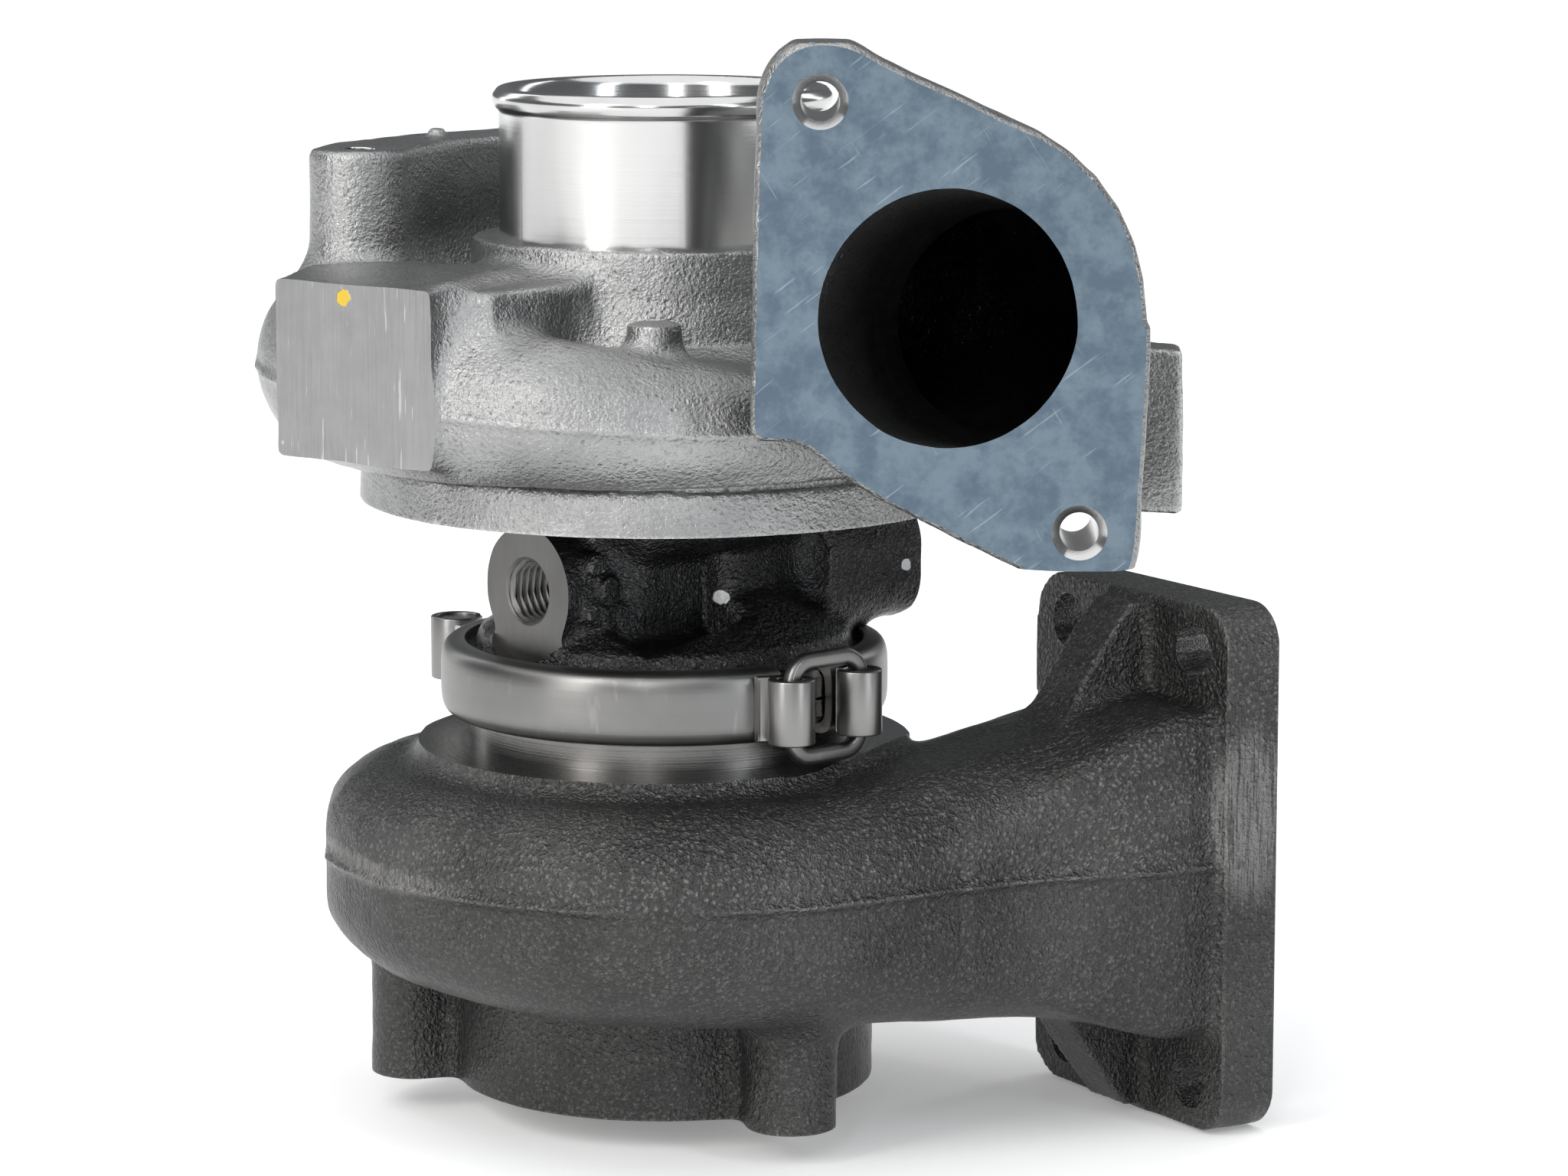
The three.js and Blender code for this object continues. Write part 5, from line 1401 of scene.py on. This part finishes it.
def sealing_pieces():
    seal = [(7.8, 114.9), (24.5, 114.9), (24.5, 115.9), (22.7, 115.9), (22.7, 117.9), (24.5, 117.9),
            (24.5, 118.8), (19, 118.8), (18, 120.7), (7.8, 120.7)]
    shield = [(9.9, 62.9), (29, 62.9), (30.4, 64.2), (30.4, 66.3), (33.1, 66.3), (33.1, 67.6), (29.2, 67.6),
              (29.2, 64.7), (28.4, 64.1), (9.9, 64.1)]
    collar = [(4.3, 107.2), (9.2, 107.2), (9.2, 109.2), (5.7, 109.2), (5.7, 112.4), (4.3, 112.4)]
    thrower = [(4.3, 112.7), (9.2, 112.7), (9.2, 114.2), (7.5, 114.2), (7.5, 116.3), (6, 116.3), (6, 118.3),
               (7.5, 118.3), (7.5, 121), (4.3, 121)]
    for name, outline, corner, material, body, slot, node in (
        ("oil_seal_plate", seal, 0.25, TURNED_ALUMINIUM, "housings", "cast_aluminium", "seal_plate"),
        ("pressed_heat_shield", shield, 0.5, STAINLESS, "housings", "stainless_sheet", "heat_shield"),
        ("grooved_thrust_collar", collar, 0.25, STEEL, "rotor", "machined_steel", "thrust_collar"),
        ("grooved_oil_thrower", thrower, 0.25, STEEL, "rotor", "machined_steel", "oil_thrower"),
        ("housing_seal_ring", block_outline(48.1, 49.6, 116.2, 118.3), 0.9, RUBBER, "housings",
         "black_rubber", "compressor_housing_o_ring"),
        ("plate_seal_ring", block_outline(23, 24.4, 116.2, 117.6), 0.7, RUBBER, "housings",
         "black_rubber", "seal_plate_o_ring"),
    ):
        round_piece(name, outline, corner, material, body, slot, node)
    split_ring("housing_retaining_ring", 47.6, 51.4, 111.4, 112.6, 9, 200, "compressor_snap_ring")
    split_ring("plate_retaining_ring", 22, 26.1, 119.1, 119.9, 7, 20, "seal_plate_snap_ring")
    split_ring("hot_piston_ring", 7.9, 9.35, 67.7, 69.5, 1, 90, "turbine_piston_ring")
    split_ring("cold_piston_ring", 6.3, 7.6, 116.5, 118.1, 1, 270, "compressor_piston_ring")
    for i, low in enumerate((78.3, 87.7, 94.8, 105.2)):
        split_ring(f"bush_circlip_{i + 1}", 6.7, 9, low, low + 1, 6, 90 * i, f"journal_circlip_{i + 1}")


def running_pieces():
    for low, high, side in ((79.5, 87.5, "turbine"), (96, 105, "compressor")):
        middle = (low + high) / 2
        ends = [on_circle(12, angle, middle) for angle in range(0, 360, 60)]
        holes = [rod_shape((0, 0, middle), end, 0.9, sides=24) for end in ends]
        round_piece(f"{side}_side_bush", block_outline(5.58, BUSH_R, low, high), 0.5, BRONZE,
                    f"{side}_side_bearing", "bearing_bronze", f"journal_bearing_{side}_side", cuts=holes)
    shaft = [
        (0.01, 62.3), (HUB_R, 62.3), (HUB_R, 67.5), (7.6, 67.5), (7.6, 69.7), (HUB_R, 69.7), (HUB_R, 72.4),
        (6.6, 73.6), (JOURNAL_R, 75.4), (JOURNAL_R, 106.9), (STUB_R, 106.9), (STUB_R, 146), (0.01, 146)]
    screw = screw_shape((0, 0, 145), (0, 0, 156), 3.5, STUB_R, 1)
    round_piece("ground_shaft", shaft, 0.25, STEEL, "rotor", "machined_steel", "rotor_shaft", joins=[screw])
    collar = rod_shape((0, 0, 147.3), (0, 0, 149), 7.8, bevel=0.3)
    bore = rod_shape((0, 0, 140), (0, 0, 160), STUB_R + GAP)
    piece("wheel_nut", hex_shape((0, 0, 148.6), (0, 0, 153.6), 13), STEEL, "rotor", "machined_steel",
          "compressor_nut", cuts=[bore], joins=[collar])

    def beside_drain(near, far, half, low, depth):
        spots = ((near, -half), (far, -half), (far, half), (near, half))
        corners = [along_oil(reach, 0, across)[:2] for reach, across in spots]
        return slab_shape(corners, lambda a, b, c: (a, b, low + c), depth)

    round_piece("pad_thrust_bearing", block_outline(6, 19.5, 109.5, 112.3), 0.3, BRONZE, "housings",
                "bearing_bronze", "thrust_bearing", cuts=[beside_drain(10.5, 24, 6, 105, 10)])
    round_piece("pressed_oil_deflector", block_outline(10, 19.5, 112.7, 113.5), 0.2, STEEL, "housings",
                "machined_steel", "oil_deflector", joins=[beside_drain(14, 15, 5.5, 110.1, 3)])


# ---- studio ----

def studio():
    signs = ((-1, -1), (1, -1), (1, 1), (-1, 1))
    corners = [(x * FLOOR_HALF, y * FLOOR_HALF, FLOOR_Z_BELOW) for x, y in signs]
    floor = new_object("floor", (corners, [(0, 1, 2, 3)]), studio_floor())
    floor.location.z = -0.0005
    camera = bpy.data.objects.new("camera", bpy.data.cameras.new("camera"))
    bpy.context.scene.collection.objects.link(camera)
    camera.data.sensor_width = 36
    camera.data.lens = LENS
    camera.data.clip_start = 0.05
    camera.data.clip_end = 100
    camera.location = Vector((np.array(CAMERA_PLACE) + ORIGIN) / 1000)
    camera.rotation_euler = (math.radians(90 - CAMERA_PITCH), 0, 0)
    bpy.context.scene.camera = camera
    bpy.context.scene.view_settings.view_transform = "Standard"
    world = bpy.data.worlds.new("studio_air")
    bpy.context.scene.world = world
    world.use_nodes = True
    air = world.node_tree.nodes["Background"].inputs
    air["Color"].default_value = (0.92, 0.96, 1.0, 1)
    air["Strength"].default_value = 0.16
    sky = bpy.data.lights.new("ceiling", "SUN")
    sky.energy = 2.3
    sky.angle = math.radians(100)
    ceiling = bpy.data.objects.new("ceiling", sky)
    ceiling.rotation_euler = (math.radians(12), math.radians(-10), 0)
    bpy.context.scene.collection.objects.link(ceiling)
    target = Vector(LIGHT_TARGET)
    for name, place, size, watts, tint in (
        ("key_softbox", (-1.2, -1.2, 0.8), (0.35, 1.6), 14, (1.0, 0.98, 0.95)),
        ("right_softbox", (1.25, -1.2, 0.7), (0.3, 1.6), 9, (0.92, 0.96, 1.0)),
        ("front_fill", (-0.35, -2.0, 0.9), (0.22, 1.0), 5.5, (1.0, 1.0, 1.0)),
        ("rear_left_strip", (-1.2, 1.2, 0.8), (0.3, 1.5), 3.5, (1.0, 1.0, 1.0)),
        ("rear_right_strip", (1.2, 1.2, 0.9), (0.3, 1.5), 3.5, (1.0, 1.0, 1.0)),
    ):
        lamp = bpy.data.lights.new(name, "AREA")
        lamp.shape = "RECTANGLE"
        lamp.size, lamp.size_y = size
        lamp.energy = watts
        lamp.color = tint
        thing = bpy.data.objects.new(name, lamp)
        thing.location = place
        thing.rotation_euler = (target - Vector(place)).to_track_quat("-Z", "Y").to_euler()
        bpy.context.scene.collection.objects.link(thing)


turbine_housing()
clamp_halves()
clamp_hardware()
bearing_housing()
compressor_housing()
turbine_wheel()
compressor_wheel()
sealing_pieces()
running_pieces()
studio()
